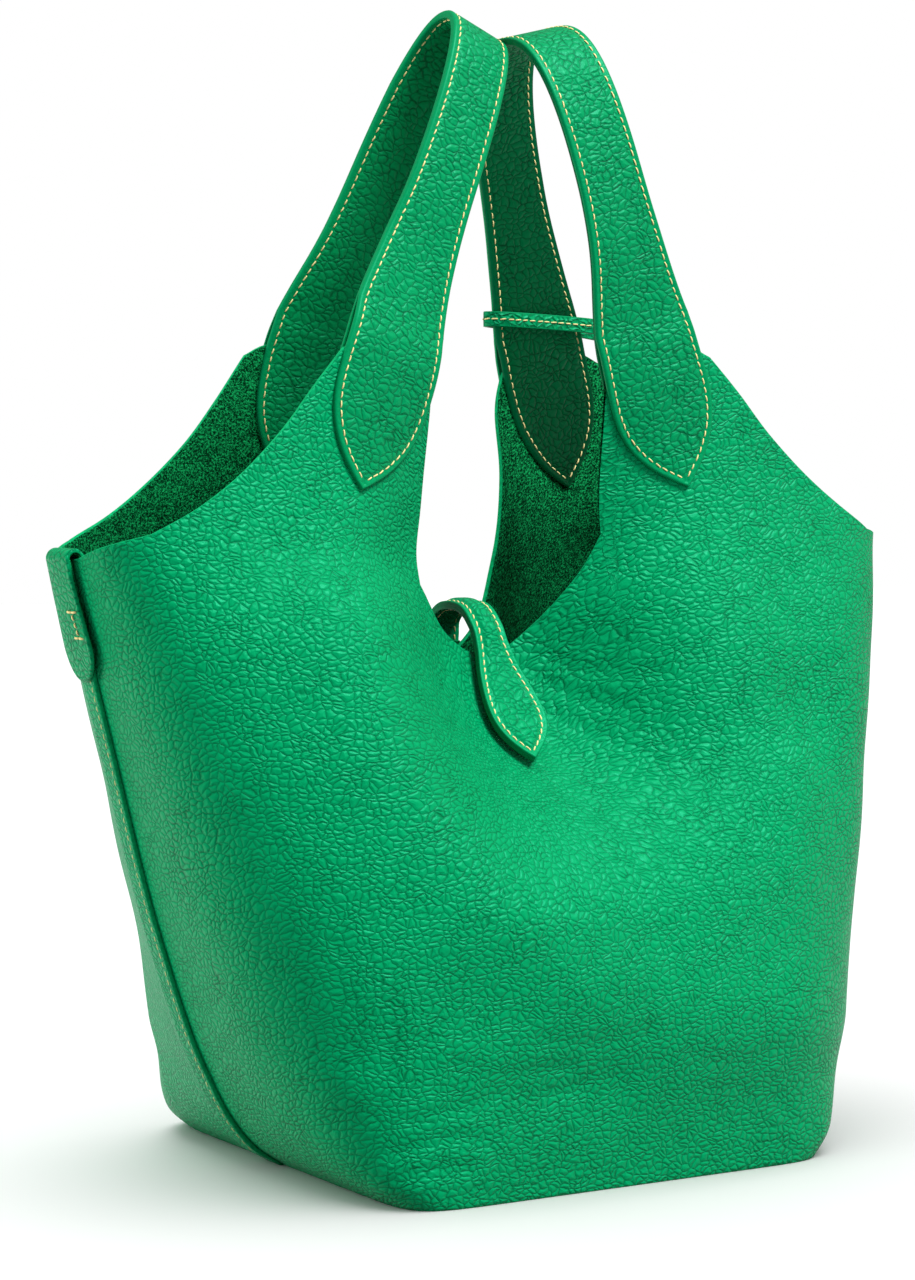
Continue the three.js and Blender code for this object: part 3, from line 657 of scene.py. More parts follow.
def panel(face):
    columns = half_columns(face, -1) + half_columns(face, 1)[-2::-1]
    v = np.linspace(0, 1, PANEL_ROWS)
    w, z, lapped = [], [], []
    for c in columns:
        height = c["top"] * v
        length = half_length(height, face)
        out = length - c["inset"] if "inset" in c else mix(c["low"], c["high"], height / c["top"]) * length
        w.append(c["side"] * out)
        z.append(height)
        lapped.append(1 - smooth((length - out - SEAM_LAP) / LAP_EASE) if face == "back" else 0 * v)
    w, z, lapped = (np.array(g).T for g in (w, z, lapped))
    offset = lapped * (LEATHER + 0.1) + drape(w, z, face)
    top, bottom = (on_wall(w, z, offset + t * LEATHER / 2, face) for t in (1, -1))
    rise = np.linalg.norm(np.diff(top, axis=0), axis=2) ** 2 - np.diff(w, axis=0) ** 2
    rise = np.sqrt(np.maximum(rise, np.diff(z, axis=0) ** 2))
    up = np.vstack([np.zeros((1, w.shape[1])), np.cumsum(rise, axis=0)])
    grain = gathered(w, up) + [0 if face == "front" else 900, 0]
    piece = slab(f"{face}_leather", top, bottom, grain, [SHELL, SUEDE, CUT_EDGE])
    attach(piece, "bag")
    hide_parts(f"{face}_panel")


for side_face in ("front", "back"):
    panel(side_face)


# ---------------------------------------------------------------- straps
STITCH_INSET = 3.1
EDGE_ROUND = 1.1
STRAP_HALF = [[0, 23], [28, 18.8], [54, 16.2], [80, 15.4], [139, 15]]
TAB_HALF = 24.8
TAB_WIDEST = 48
TAB_POWER = 2.6
STRAP_STITCH = dict(pitch=3.9, length=2.95, radius=0.34)

# back holds how far the back leg is shifted along x at each height above the foot.
HANDLES = {
    "left": dict(side=-1, lean=24.3, tip=(-90, 292.5), foot=(-65.6, 366), height=142.5,
                 reach=(33, 33.5), power=2.3, wide=0.3,
                 back=[[-80, 15], [-40, 11], [0, 5.5], [40, 3], [80, 1.2], [110, 0]]),
    "right": dict(side=1, lean=14.4, tip=(78.5, 294), foot=(56, 366), height=133.5,
                  reach=(43.5, 40.8), power=2.9, wide=1.2,
                  back=[[-80, -6.6], [-40, -4.2], [0, -2.2], [40, -0.6], [70, 0]]),
}


def across_steps(count, edge=(0, 0.012, 0.035, 0.07, 0.12), inner=0.8):
    """Shares of the half width across a layer, closer together at its edges."""
    edge = np.array(edge)
    return np.concatenate([-1 + edge, np.linspace(-inner, inner, count), 1 - edge[::-1]])


ACROSS = across_steps(19, (0, 0.008, 0.022, 0.045, 0.075), 0.88)
MIDDLE_COLUMN = len(ACROSS) // 2


def distance_inside(half, a, steps):
    """Distance from the outline of a layer whose half width changes along it, at a off its middle."""
    return (half[:, None] - np.abs(a)) / np.sqrt(1 + np.gradient(half, steps)[:, None] ** 2)


def groove(edge, inset, depth, width):
    """Depth of the groove that a row of stitches pulls into the leather."""
    return depth * np.exp(-((edge - inset) / width) ** 2)


def edge_profile(edge, thickness, radius):
    """Height of a layer's face at a distance from its outline, rounded over at the edge."""
    rounded = radius - np.sqrt(np.maximum(radius**2 - (radius - np.clip(edge, 0, radius)) ** 2, 0))
    return thickness - np.minimum(rounded, thickness * 0.8)


def inset_path(edge, grid, normals, inset, side):
    """The line on a grid that runs at a distance from its outline, with the normals there."""
    middle = grid.shape[1] // 2
    columns = list(range(middle, -1, -1)) if side < 0 else list(range(middle, grid.shape[1]))
    path, out = [], []
    for r in range(grid.shape[0]):
        distance = edge[r, columns]
        if distance.max() < inset:
            continue
        order = np.argsort(distance)
        for target, source in ((path, grid), (out, normals)):
            target.append([np.interp(inset, distance[order], source[r, columns, k][order]) for k in range(3)])
    return np.array(path), np.array(out)


def border_relief(edge):
    """Depth of the grain, faint on the border outside the stitches."""
    return 0.22 + 0.78 * smooth((edge - STITCH_INSET) / 2.2)


class Handle:
    """A strap arch whose two ends are spear-shaped tabs on the horns."""

    def __init__(self, name, side, lean, tip, foot, height, reach, power, wide, back):
        self.name, self.side, self.back = name, side, back
        self.height, self.reach, self.power, self.wide = height, reach, power, wide
        self.tab_length = math.hypot(foot[0] - tip[0], foot[1] - tip[1])
        tab_angle = math.atan2(foot[0] - tip[0], foot[1] - tip[1])
        h = np.arange(-self.tab_length - 1, height + 3, 0.5)
        self.angles = mix(tab_angle, -side * math.radians(lean), smooth((h + 25) / 45))
        self.heights = h
        zero = np.argmin(np.abs(h))
        x, z = (np.cumsum(g(self.angles)) * 0.5 for g in (np.sin, np.cos))
        self.x, self.z = foot[0] + x - x[zero], foot[1] + z - z[zero]

    def half_at(self, h):
        above = h + self.tab_length
        tab = TAB_HALF * (1 - np.clip((TAB_WIDEST - above) / TAB_WIDEST, 0, 1) ** TAB_POWER) + 0.05
        arch = through(STRAP_HALF, np.maximum(h, 0)) + self.wide
        neck = smooth((above - TAB_WIDEST) / (self.tab_length - TAB_WIDEST + 4))
        return np.where(above < TAB_WIDEST, tab, mix(TAB_HALF, arch, neck))

    def rows(self):
        """h, y and the arch's normal of each row from the front tip over the arch to the back tip."""
        turn = np.linspace(0, math.pi, 1201)
        c, rise = np.cos(turn), np.abs(np.sin(turn)) ** (2 / self.power)
        y = -np.where(c > 0, self.reach[0], self.reach[1]) * np.sign(c) * np.abs(c) ** (2 / self.power)
        at, tangent, _ = resample(np.stack([y, rise * self.height], axis=1), 1.5)
        low = -self.tab_length + np.concatenate([np.arange(0, 3, 0.35), np.arange(3, self.tab_length, 1.5)])
        h = np.concatenate([low, at[:, 1], low[::-1]])
        y = np.concatenate([np.full(len(low), -self.reach[0]), at[:, 0], np.full(len(low), self.reach[1])])
        up = np.array([0.0, 1.0])
        t = np.vstack([np.tile(up, (len(low), 1)), tangent, np.tile(-up, (len(low), 1))])
        return h, y, t

    def surface(self, layer, inner_side):
        """Grid of points of one side of one layer: layer is 1 for outer and -1 for inner."""
        h, y, t = self.rows()
        half = self.half_at(h)
        shift = np.where(y < 0, 0, through(self.back, h))
        turn = np.where(y < 0, 0, np.arctan(through(self.back, h + 0.5) - through(self.back, h - 0.5)))
        angle = np.interp(h, self.heights, self.angles) + turn
        cx, cz = np.interp(h, self.heights, self.x) + shift, np.interp(h, self.heights, self.z)
        a = ACROSS[None, :] * half[:, None]
        x = cx[:, None] + a * np.cos(angle)[:, None]
        z = cz[:, None] - a * np.sin(angle)[:, None]
        is_front = (y < 0)[:, None] & np.ones_like(a, bool)
        onto = smooth((h + 22) / 66)[:, None]
        apart = mix(LEATHER / 2 + 0.15, 0.02, smooth((h + 10) / 12))[:, None]
        edge = distance_inside(half, a, 1.5)
        round_edge = EDGE_ROUND - np.sqrt(np.maximum(EDGE_ROUND**2 - (EDGE_ROUND - edge) ** 2, 0))
        profile = STRAP_LEATHER - np.where(edge < EDGE_ROUND, round_edge, 0)
        profile = profile - groove(edge, STITCH_INSET, 0.5, 0.75)
        n = layer * (apart + (0 if inner_side else 1) * profile)
        points, normals = np.zeros(a.shape + (3,)), np.zeros(a.shape + (3,))
        for face in ("front", "back"):
            pick = is_front if face == "front" else ~is_front
            wx, wz = x[pick], np.clip(z[pick], 0, 380)
            w = wall_at(wx, wz, face)
            points[pick] = wall(w, wz, face)
            points[..., 2][pick] = z[pick]
            normals[pick] = wall_normal(w, wz, face)
        arch_normal = np.stack([t[:, 0] * np.sin(angle), -t[:, 1], t[:, 0] * np.cos(angle)], axis=-1)
        arch = np.stack([x, np.broadcast_to(y[:, None], x.shape), z], axis=-1)
        centre = mix(points, arch, onto[..., None])
        normal = unit(mix(normals, np.broadcast_to(arch_normal[:, None], normals.shape), onto[..., None]))
        steps = np.linalg.norm(np.diff(centre[:, MIDDLE_COLUMN], axis=0), axis=1)
        along = np.concatenate([[0], np.cumsum(steps)])
        grain = np.stack([a + 70 * layer + 300 * self.side, np.broadcast_to(along[:, None], a.shape),
                          border_relief(edge)], axis=-1)
        return centre + normal * n[..., None], normal * layer, grain, edge


def strap_layer(handle, layer, word, materials):
    top, normal, grain, edge = handle.surface(layer, False)
    bottom, _, _, _ = handle.surface(layer, True)
    painted = (edge[:-1, :-1] < 0.75) | (edge[1:, 1:] < 0.75)
    name = f"{handle.name}_strap_{word}"
    piece = slab(name, top, bottom, grain, materials, lip=0.02, edge_faces=painted)
    nodes = [f"{handle.name}_handle_{word}"] + [f"{handle.name}_{f}_{word}_tab" for f in ("front", "back")]
    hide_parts(*nodes)
    rows = []
    keep = handle.half_at(handle.rows()[0]) > STITCH_INSET + 1.2
    for side, seed in ((-1, 3), (1, 4)):
        path, normals = inset_path(edge[keep], top[keep], normal[keep], STITCH_INSET, side)
        rows.append(stitch_row(path + 0.14 * normals, normals, **STRAP_STITCH, slant=side * 6.0,
                               seed=seed + 10 * (layer + 1) + handle.side + 1))
    thread = stitches(f"{name}_stitches", rows, THREAD)
    for part in (piece, thread):
        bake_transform(part)


for handle_name, facts in HANDLES.items():
    made = Handle(handle_name, **facts)
    strap_layer(made, 1, "outer", [STRAP, STRAP, PAINTED_EDGE])
    strap_layer(made, -1, "inner", [SHADED_LINING, SHADED_LINING, PAINTED_EDGE])


# ---------------------------------------------------------------- side tabs
SIDE_TAB = dict(back=20, front=4, low_front=8.5, outside_to=213, inside_to=238, round=14, leather=2.3)
CROSS_STITCH = dict(high=(243.4, 1.2), low=(232.6, -1.0), half=4.2)
SEAM_STITCH = 2.8  # from the seam to its row of stitches


def side_tab(side, word):
    """A strip folded over the top of a side seam: up the outside, over the edge and down the inside."""
    leather = SIDE_TAB["leather"]
    outside, inside = LEATHER * 1.5 + 0.2 + leather / 2, -(LEATHER / 2 + 0.1 + leather / 2)
    fold, middle, top = (outside - inside) / 2, (outside + inside) / 2, MOUTH_SIDE_HEIGHT[side] + 0.3
    outer, over = top - SIDE_TAB["outside_to"], math.pi * fold
    total = outer + over + top - SIDE_TAB["inside_to"]
    s = np.concatenate([np.arange(0, 3, 0.4), np.arange(3, outer, 1.2), np.linspace(outer, outer + over, 16),
                        np.arange(outer + over + 1, total, 1.5)])
    across = across_steps(9)
    turn = np.clip((s - outer) / fold, 0, math.pi)
    outward = np.stack([np.cos(turn), np.sin(turn)], axis=1)
    n0 = middle + fold * outward[:, 0]
    z0 = np.where(s < outer, SIDE_TAB["outside_to"] + s, np.where(
        s < outer + over, top + fold * outward[:, 1], top - (s - outer - over)))
    end = np.clip((s + 0.3) / SIDE_TAB["round"], 0, 1)
    half = (SIDE_TAB["back"] + SIDE_TAB["front"]) / 2 * (np.sqrt(1 - (1 - end) ** 2) * 0.97 + 0.03)
    lower = 1 - smooth((s - 6) / 40)
    centre = (SIDE_TAB["back"] - mix(SIDE_TAB["front"], SIDE_TAB["low_front"], lower)) / 2
    half = half + (SIDE_TAB["low_front"] - SIDE_TAB["front"]) / 2 * lower * end
    at = centre[:, None] + across[None, :] * half[:, None]
    slope = np.sqrt(1 + np.gradient(half, s) ** 2)
    edge = np.minimum(half[:, None] * (1 - np.abs(across))[None, :] / slope[:, None], total - s[:, None])

    def face_at(share):
        lift = share * edge_profile(edge, leather / 2, 0.8)
        z = z0[:, None] + lift * outward[:, 1:]
        flat = np.minimum(z, MOUTH_SIDE_HEIGHT[side])
        w = side * (half_length(np.clip(flat, 0, 380), "back") - at)
        points = on_wall(w, flat, n0[:, None] + lift * outward[:, :1], "back")
        points[..., 2] = z
        return points

    outer_face, inner_face = face_at(1), face_at(-1)
    grain = np.stack([at + 1500 * side, np.broadcast_to(s[:, None], at.shape)], axis=-1)
    piece = slab(f"{word}_seam_tab", outer_face, inner_face, grain, [TAB, SUEDE, PAINTED_EDGE], lip=0.3)
    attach(piece, "bag")
    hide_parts(f"{word}_side_tab")

    def surface(place, z):
        w = side * (half_length(z, "back") - place)
        return on_wall(w, z, outside + leather / 2 + 0.1, "back"), wall_normal(w, z, "back")

    (high, high_at), (low, low_at), reach = (CROSS_STITCH[k] for k in ("high", "low", "half"))
    rows = []
    for z, place in ((high, high_at), (low, low_at)):
        line = surface(np.linspace(place - reach, place + reach, 30), np.full(30, float(z)))
        rows.append(stitch_row(*line, 4.2, 3.9, 0.55, slant=0, seed=int(z)))
    stem = surface(np.linspace(low_at, high_at, 30), np.linspace(low + 0.8, high - 0.8, 30))
    rows.append(stitch_row(*stem, 3.0, 2.4, 0.42, slant=0, seed=5))
    thread = stitches(f"{word}_seam_tab_stitches", rows, THREAD)
    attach(thread, "bag")

    seam_z = np.linspace(9, SIDE_TAB["outside_to"] + 3, 160)
    seam_w = side * (half_length(seam_z, "back") - SEAM_STITCH)
    seam = on_wall(seam_w, seam_z, LEATHER * 1.5 + 0.02, "back")
    normals = wall_normal(seam_w, seam_z, "back")
    row = stitch_row(seam, normals, 4.0, 2.9, 0.24, slant=4 * side, seed=8 + side)
    thread = stitches(f"{word}_seam_stitches", [row], THREAD)
    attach(thread, "bag")


for tab_side, tab_word in ((-1, "left"), (1, "right")):
    side_tab(tab_side, tab_word)


# ---------------------------------------------------------------- closure tab
CLOSURE = dict(x=-10.0, strap_half=7.9, tab_half=13.9, spear=26.0, stand_off=3.5, snap=196.0)
CLOSURE_ARC = [[18.2, 235], [8.5, 241], [-7, 240.5], [-17, 233]]
CLOSURE_LYING = [(222, 0), (210, 0), (198, 0), (187, 0.5), (173.5, 1.7)]
LAYER_THICKNESS = 1.95
TAB_DOME = 1.3
TAB_STITCH_INSET = 2.7
TAB_STITCH = dict(pitch=3.7, length=2.9, radius=0.36)


def closure_route():
    """y and z of the middle of the tab from its hinge over the mouth to its tip, every half millimetre."""
    middle = LEATHER / 2 + CLOSURE["stand_off"] + TAB_LEATHER
    hinge = joint_point("closure_flip")
    points = [hinge[1:] + [0.3, -2.9], hinge[1:], *CLOSURE_ARC]
    for z, closer in CLOSURE_LYING:
        w = wall_at(CLOSURE["x"], z, "front")
        points.append(on_wall(w, z, middle - closer, "front")[..., 1:].reshape(2))
    return resample(spline(points, 400), 0.5)


def closure_half(left):
    """Half width of the tab at a distance from its tip."""
    spear = CLOSURE["tab_half"] * (1 - np.clip(1 - left / CLOSURE["spear"], 0, 1) ** 2.2) + 0.1
    neck = mix(CLOSURE["tab_half"] + 0.1, CLOSURE["strap_half"], smooth((left - CLOSURE["spear"]) / 40))
    return np.where(left < CLOSURE["spear"], spear, neck)


def closure_tab():
    route, tangent, along = closure_route()
    y, z = route[:, 0], route[:, 1]
    half = closure_half(along[-1] - along)
    out = np.stack([np.zeros_like(y), tangent[:, 1], -tangent[:, 0]], axis=1)
    a = across_steps(17)[None, :] * half[:, None]
    edge = distance_inside(half, a, along)
    edge = np.minimum(edge, (along[-1] - along)[:, None] + 0.02)
    follow = np.where(y < 0, smooth((236 - z) / 16), 0)[:, None]
    x = CLOSURE["x"] + a
    low = np.broadcast_to(np.minimum(z, 222.0)[:, None], x.shape)
    here, straight = (wall(wall_at(place, low, "front"), low, "front")[..., 1]
                      for place in (x, np.full_like(x, CLOSURE["x"])))
    curved = here - straight
    centre = np.stack([x, y[:, None] + follow * curved, np.broadcast_to(z[:, None], x.shape)], axis=-1)
    dome = TAB_DOME * smooth((edge - TAB_STITCH_INSET) / 3.2) * smooth((along - 6) / 20)[:, None]
    furrow = groove(edge, TAB_STITCH_INSET, 0.35, 0.7)
    faces = {}
    for layer in (1, -1):
        rise = edge_profile(edge, LAYER_THICKNESS, 0.8) - furrow * (layer > 0) + dome * (layer > 0)
        normal = np.broadcast_to((out * layer)[:, None], centre.shape)
        top = centre + normal * (0.02 + rise)[..., None]
        bottom = centre + normal * 0.02
        word = "outer" if layer > 0 else "lining"
        grain = np.stack([a + 40 * layer + 2200, np.broadcast_to(along[:, None], a.shape),
                          border_relief(edge)], axis=-1)
        piece = slab(f"tab_{word}", top, bottom, grain, [TAB, TAB, PAINTED_EDGE], lip=0.02,
                     edge_faces=edge[:-1, :-1] < 0.5)
        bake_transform(piece)
        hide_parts(f"closure_tab_{word}")
        faces[layer] = (top, normal)
    for layer, word in ((1, "outer"), (-1, "lining")):
        rows = []
        for side in (-1, 1):
            path, normals = inset_path(edge, *faces[layer], TAB_STITCH_INSET, side)
            rows.append(stitch_row(path + 0.1 * normals, normals, **TAB_STITCH, slant=side * 9,
                                   seed=30 + side))
        thread = stitches(f"tab_{word}_stitches", rows, THREAD)
        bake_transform(thread)


def closure_root():
    """Spear-ended patch sewn outside the back panel, which the tab hangs from."""
    low, high = 181.0, joint_point("closure_flip")[2] - 2.4
    z = np.concatenate([low + np.array([0, 0.3, 0.7, 1.2, 1.9]), np.arange(low + 2.6, high, 1.2)])
    reach = np.clip((z - low) / 21, 0, 1)
    wide = mix(CLOSURE["tab_half"], CLOSURE["strap_half"], smooth((z - 200) / 22))
    half = wide * (1 - (1 - reach) ** 2.2) + 0.1
    a = across_steps(13)[None, :] * half[:, None]
    edge = distance_inside(half, a, z)
    x, zz = CLOSURE["x"] + a, np.broadcast_to(z[:, None], a.shape)
    w = wall_at(x, zz, "back")
    rise = edge_profile(edge, 1.9, 0.8) - groove(edge, TAB_STITCH_INSET, 0.3, 0.7)
    top = on_wall(w, zz, LEATHER / 2 + 0.2 + rise, "back")
    bottom = on_wall(w, zz, np.full_like(zz, LEATHER / 2 + 0.1), "back")
    grain = np.stack([a + 2600, zz, border_relief(edge)], axis=-1)
    piece = slab("tab_root", top, bottom, grain, [TAB, SUEDE, PAINTED_EDGE], lip=0.02)
    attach(piece, "bag")
    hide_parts("closure_root")
    normals = wall_normal(w, zz, "back")
    rows = [stitch_row(*inset_path(edge, top, normals, TAB_STITCH_INSET, side), **TAB_STITCH,
                       slant=side * 9, seed=40 + side) for side in (-1, 1)]
    thread = stitches("tab_root_stitches", rows, THREAD)
    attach(thread, "bag")


closure_tab()
closure_root()


def ring_quads(index):
    """The quads of rings of points, whose last ring joins the first."""
    ahead = np.roll(index, -1, 1)
    return np.stack([index, ahead, np.roll(ahead, -1, 0), np.roll(index, -1, 0)], axis=-1).reshape(-1, 4)


def lathe(name, profile, base, body, node, turns=40):
    """A turned piece standing on the front panel at the snap; the profile is radius and height."""
    z = CLOSURE["snap"]
    w = wall_at(CLOSURE["x"], z, "front")
    at, up = on_wall(w, z, 0, "front").reshape(3), wall_normal(w, np.array(z), "front").reshape(3)
    first = unit(np.cross(up, [0.0, 0.0, 1.0]))
    second = np.cross(up, first)
    angle = np.arange(turns) / turns * 2 * math.pi
    spoke = np.cos(angle)[:, None] * first + np.sin(angle)[:, None] * second
    points = np.vstack([at + up * (base + h) + r * spoke for r, h in profile])
    index = np.arange(len(points)).reshape(len(profile), turns)
    faces = ring_quads(index)
    piece = build(name, points, faces, [STEEL])
    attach(piece, body)
    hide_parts(node)


# Radius and height of each profile's points, from the front panel's outer or inner face.
FACE = LEATHER / 2
STUD = [(0.05, 0), (5.2, 0), (5.4, 0.3), (5.0, 0.7), (2.6, 0.9), (2.1, 1.2), (2.1, 1.6), (2.5, 2.1),
        (2.3, 2.6), (1.4, 2.8), (0.05, 2.85)]
SOCKET = [(2.8, 1.8), (3.1, 1.5), (5.4, 1.5), (5.9, 1.8), (5.9, 2.6), (3.1, 2.8), (2.8, 2.5)]
WASHER = [(0.05, -1.5), (3.6, -1.5), (5.4, -1.2), (5.7, -0.6), (5.5, -0.05), (0.05, -0.05)]
lathe("stud", STUD, FACE, "bag", "snap_stud")
lathe("socket", SOCKET, FACE, "closure_tab", "snap_socket")
lathe("washer", WASHER, -FACE, "bag", "snap_washer")


# ---------------------------------------------------------------- hang tag on its loop
LOOP_ROUTE = [[26.6, 41.5, 371.5], [33, 36, 371.3], [58, 35.4, 370.5], [84, 36.2, 369.2], [101, 42, 367.4],
              [112, 47.5, 366.2], [114, 52.3, 366], [111.5, 57.8, 366], [98, 54.5, 367], [80, 50, 368.6],
              [58, 48.6, 370], [34, 47.6, 371.3]]
LOOP_HEIGHT, LOOP_THICKNESS, LOOP_STEP = 7.0, 1.6, 0.8
TAG_STITCH = dict(pitch=3.9, length=3.0)
TAG = dict(y=52.3, half=12.0, top=374.0, bottom=320.0, hole_radius=4.4, corner=6.0, leather=1.45)


def tag_loop():
    closed = spline(LOOP_ROUTE[-2:] + LOOP_ROUTE + LOOP_ROUTE[:3], 1500)
    start, stop = (np.argmin(np.linalg.norm(closed[part] - LOOP_ROUTE[0], axis=1)) + shift
                   for part, shift in ((slice(0, 400), 0), (slice(1100, 1500), 1100)))
    path, tangent, _ = resample(closed[start:stop], LOOP_STEP, closed=True)
    up = np.array([0.0, 0.0, 1.0])
    side = unit(np.cross(tangent, up))
    corners = [(1, 0.84), (0.96, 0.94), (0.8, 1), (-0.8, 1), (-0.96, 0.94), (-1, 0.84), (-1, -0.84),
               (-0.96, -0.94), (-0.8, -1), (0.8, -1), (0.96, -0.94), (1, -0.84)]
    flat_sides = (5, 11)  # between these corners and the next ones
    rings = np.stack([path + side * (a * LOOP_THICKNESS / 2) + up * (b * LOOP_HEIGHT / 2)
                      for a, b in corners], axis=1)
    rows, cols = rings.shape[:2]
    faces = ring_quads(np.arange(rows * cols).reshape(rows, cols))
    along = np.arange(rows) * LOOP_STEP
    grain = np.stack([np.broadcast_to(along[:, None] + 3000, (rows, cols)), rings[..., 2]], axis=-1)
    which = np.tile([0 if k in flat_sides else 2 for k in range(cols)], rows)
    piece = build("loop_band", rings.reshape(-1, 3), faces, [TAB, TAB, PAINTED_EDGE], which,
                  grain.reshape(-1, 2))
    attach(piece, "tag_loop")
    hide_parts("tag_loop")
    rows_of = []
    for face, seed in ((1, 51), (-1, 52)):
        line = path + side * face * (LOOP_THICKNESS / 2 + 0.05)
        rows_of.append(stitch_row(line, side * face, **TAG_STITCH, radius=0.34, slant=5, seed=seed))
    thread = stitches("loop_band_stitches", rows_of, THREAD)
    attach(thread, "tag_loop")


def tag_outline(inset, angles, centre):
    """Distance from the hole to the tag's outline, drawn in by an inset, in each direction."""
    half, top, low = TAG["half"] - inset, TAG["top"] - inset - centre, TAG["bottom"] + inset - centre
    corner = max(TAG["corner"] - inset, 0.5)
    reach = np.zeros_like(angles)
    for i, angle in enumerate(angles):
        r = np.linspace(0, 70, 1401)
        x, z = r * np.sin(angle), r * np.cos(angle)
        inside = (np.abs(x) <= half) & (z <= top)
        cx, cz = half - corner, top - corner
        inside &= ~((np.abs(x) > cx) & (z > cz) & (np.hypot(np.abs(x) - cx, z - cz) > corner))
        inside &= ~((z < low + half) & (np.hypot(x, z - (low + half)) > half))
        reach[i] = r[inside][-1] if inside.any() else 0
    return reach


def hang_tag():
    x0, _, z0 = joint_point("tag_swing")
    angles = np.linspace(-math.pi, math.pi, 121)[:-1]
    outline, hole = tag_outline(0, angles, z0), TAG["hole_radius"]
    shares = np.concatenate([[0, 0.03, 0.08], np.linspace(0.16, 0.84, 8), [0.9, 0.95, 0.98, 1]])
    radius = hole + (outline[None, :] - hole) * shares[:, None]
    x, z = x0 + radius * np.sin(angles), z0 + radius * np.cos(angles)
    edge = np.minimum((outline[None, :] - radius) * 0.9, radius - hole)
    stitch_at = tag_outline(2.6, angles, z0)
    rows, cols = x.shape
    count = rows * cols
    index = np.arange(count).reshape(rows, cols)
    quad = ring_quads(index)[:-cols]
    rims = [np.stack([r, np.roll(r, -1), np.roll(r, -1) + count, r + count], axis=-1)
            for r in (index[0], index[-1])]
    which = np.concatenate([np.zeros(len(quad)), np.ones(len(quad)), np.full(2 * cols, 2)])
    for sign, word in ((-1, "front"), (1, "back")):
        y_out = TAG["y"] + sign * (0.03 + edge_profile(edge, TAG["leather"], 0.6))
        y_in = np.full_like(x, TAG["y"] + sign * 0.03)
        outer, inner = (np.stack([x, y, z], axis=-1) for y in (y_out, y_in))
        faces = np.vstack([quad[:, ::sign], (quad + count)[:, ::-sign],
                           rims[0][:, ::sign], rims[1][:, ::-sign]])
        grain = np.stack([x + 3300 * sign, z], axis=-1).reshape(-1, 2)
        points = np.vstack([outer.reshape(-1, 3), inner.reshape(-1, 3)])
        piece = build(f"tag_{word}", points, faces, [TAB, SUEDE, PAINTED_EDGE], which,
                      np.vstack([grain, grain]))
        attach(piece, "hang_tag")
        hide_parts(f"hang_tag_{word}")
        stitch_y = np.full_like(angles, TAG["y"] + sign * (TAG["leather"] + 0.08))
        line = np.stack([x0 + stitch_at * np.sin(angles), stitch_y, z0 + stitch_at * np.cos(angles)], axis=1)
        facing = np.tile([0.0, sign, 0.0], (len(angles), 1))
        row = stitch_row(line, facing, **TAG_STITCH, radius=0.42, seed=60 + sign)
        thread = stitches(f"tag_{word}_stitches", [row], THREAD)
        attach(thread, "hang_tag")


tag_loop()
hang_tag()


# ---------------------------------------------------------------- base
BASE_SQUARENESS = 13.0
BASE_SEAM = dict(reach=1.5, y=8, width=14)  # the base is wider where the side seams stand out


def base_sheet(name, node, inset, materials, sag=0.0):
    """A sheet with rounded corners between the heights of its CAD node, waved up and down by its sag."""
    (_, _, low), (_, _, high) = node_box(node)
    u = across_steps(45, (0, 0.005, 0.015), 0.97)
    a, b = np.meshgrid(u, u)
    power = (np.abs(a) ** BASE_SQUARENESS + np.abs(b) ** BASE_SQUARENESS) ** (1 / BASE_SQUARENESS)
    scale = np.maximum(np.abs(a), np.abs(b)) / np.maximum(power, 1e-6)
    x = a * scale * (HALF_WIDTH[0][1] - inset) + through(BASE_SHIFT, low)
    y = b * scale * (HALF_DEPTH["front"][0][1] - inset)
    at_seam = smooth((np.abs(a) - 0.9) / 0.1) * np.exp(-((y - BASE_SEAM["y"]) / BASE_SEAM["width"]) ** 2)
    x = x + np.sign(a) * BASE_SEAM["reach"] * at_seam
    wave = sag * np.sin(x * 0.047 + 0.6) * np.sin(y * 0.041 - 0.4)
    top, bottom = (np.stack([x, y, level + wave], axis=-1) for level in (high, low))
    piece = slab(name, top, bottom, np.stack([x, y + 4000], axis=-1), materials, lip=0.4)
    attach(piece, "bag")
    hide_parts(node)


base_sheet("bottom_leather", "base_panel", 0.5, [SUEDE, SHELL, CUT_EDGE])
base_sheet("bottom_cover", "base_inner_cover", 3.0, [SUEDE, SUEDE, CUT_EDGE], sag=0.25)

for node_name, node in frame["nodes"].items():
    if not node.hide_render:
        node.data.materials.clear()
        node.data.materials.append(BOARD)


# ---------------------------------------------------------------- stage, light and camera
def white_floor():
    bpy.ops.mesh.primitive_plane_add(size=12, location=(0, 0, -0.0003))
    floor = bpy.context.object
    floor.name = "floor"
    white = plain("floor_white", rgb(250, 250, 250), 0.7, speckle=0.998, scale=4, depth=0.0)
    floor.data.materials.append(white)
    return floor


def add_to_scene(name, data):
    made = bpy.data.objects.new(name, data)
    bpy.context.scene.collection.objects.link(made)
    return made


def aim(thing, place, target):
    """Put a lamp or the camera at a place and turn it to a target."""
    thing.location = place
    thing.rotation_euler = (Vector(target) - Vector(place)).to_track_quat("-Z", "Y").to_euler()


def area_light(name, place, target, size, energy):
    light = bpy.data.lights.new(name, "AREA")
    light.shape, light.size, light.energy = "DISK", size, energy
    lamp = add_to_scene(name, light)
    aim(lamp, place, target)
    return lamp


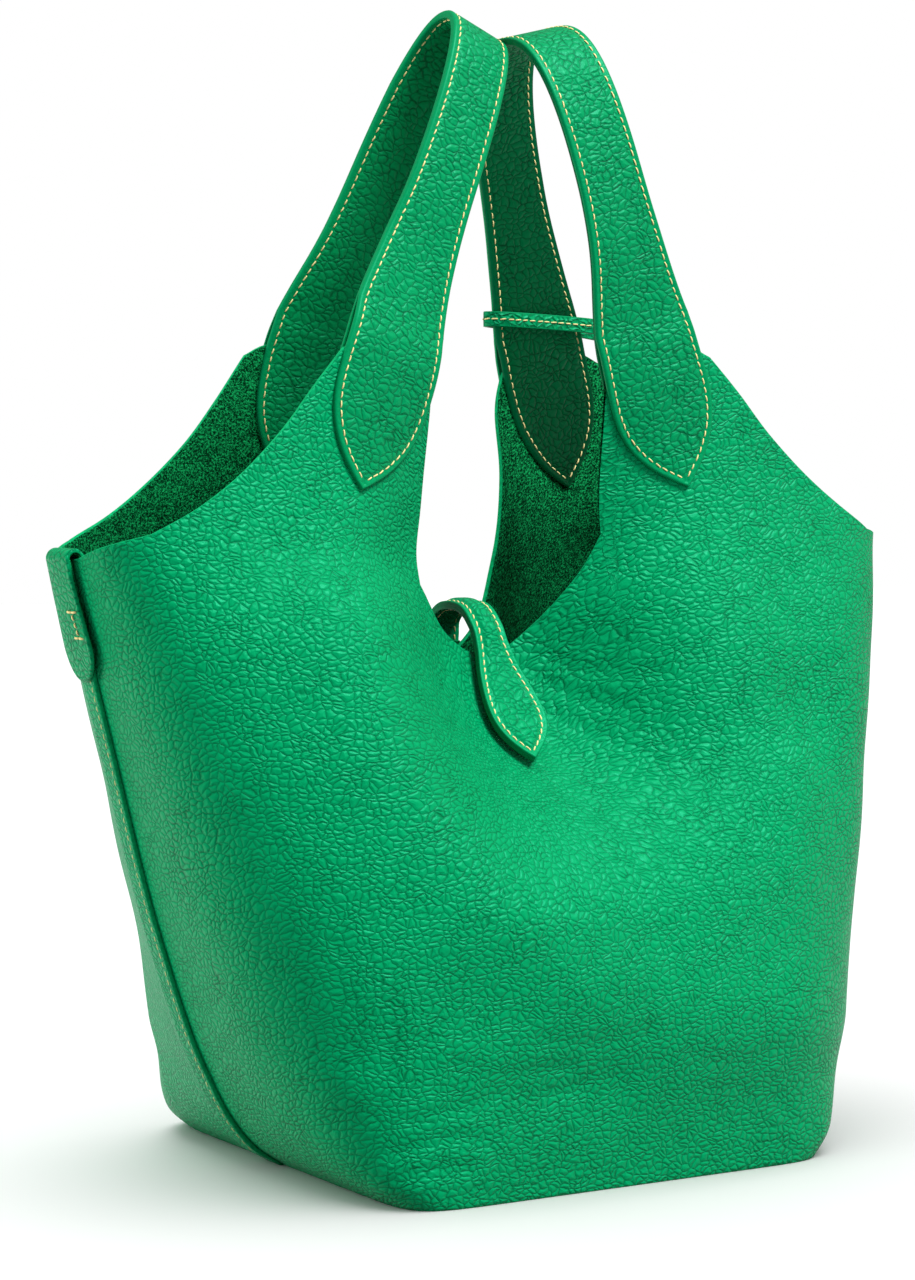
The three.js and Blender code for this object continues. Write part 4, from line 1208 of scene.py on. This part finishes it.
def sun_light(name, energy, angle):
    light = bpy.data.lights.new(name, "SUN")
    light.energy, light.angle = energy, math.radians(angle)
    return add_to_scene(name, light)


def light_only(name, pieces, *lamps):
    """Let these lamps light these pieces and nothing else."""
    lit = bpy.data.collections.new(name)
    for piece in pieces:
        lit.objects.link(piece)
    for lamp in lamps:
        lamp.light_linking.receiver_collection = lit


def white_world(shares):
    """White light from all round, dimmed to a share for some kinds of ray."""
    world = bpy.data.worlds.new("studio")
    bpy.context.scene.world = world
    world.use_nodes = True
    tree = world.node_tree
    background = tree.nodes["Background"]
    background.inputs["Color"].default_value = (1, 1, 1, 1)
    rays = tree.nodes.new("ShaderNodeLightPath")
    dimmers = []
    for ray, share in shares.items():
        dimmer = tree.nodes.new("ShaderNodeMapRange")
        tree.links.new(rays.outputs[ray], dimmer.inputs["Value"])
        dimmer.inputs["To Min"].default_value, dimmer.inputs["To Max"].default_value = 1.0, share
        dimmers.append(dimmer.outputs["Result"])
    product = tree.nodes.new("ShaderNodeMath")
    product.operation = "MULTIPLY"
    for dimmer, socket in zip(dimmers, product.inputs):
        tree.links.new(dimmer, socket)
    tree.links.new(product.outputs["Value"], background.inputs["Strength"])


ground = white_floor()
key = area_light("key", place=(0.95, -2.15, 3.8), target=(0, 0, 0.22), size=1.8, energy=500)
rim = area_light("rim", place=(-2.0, 1.3, 0.7), target=(-0.05, 0.05, 0.15), size=1.2, energy=88)
rim.visible_glossy = False
overhead = sun_light("overhead", energy=1.7, angle=60)
UNLIT = ("floor", "right_strap_inner")  # by the key and the rim light
meshes = [thing for thing in bpy.context.scene.objects if thing.type == "MESH"]
light_only("lit_by_the_key", [mesh for mesh in meshes if mesh.name not in UNLIT], key, rim)
light_only("lit_by_the_overhead", [ground], overhead)
white_world({"Is Glossy Ray": 0.25, "Is Diffuse Ray": 0.78})
bpy.context.scene.view_settings.view_transform = "Standard"

camera = add_to_scene("camera", bpy.data.cameras.new("camera"))
bpy.context.scene.camera = camera
camera.data.lens = 88.2
aim(camera, place=(-0.7369, -1.1939, 0.2943), target=(-0.0139, 0, 0.226))
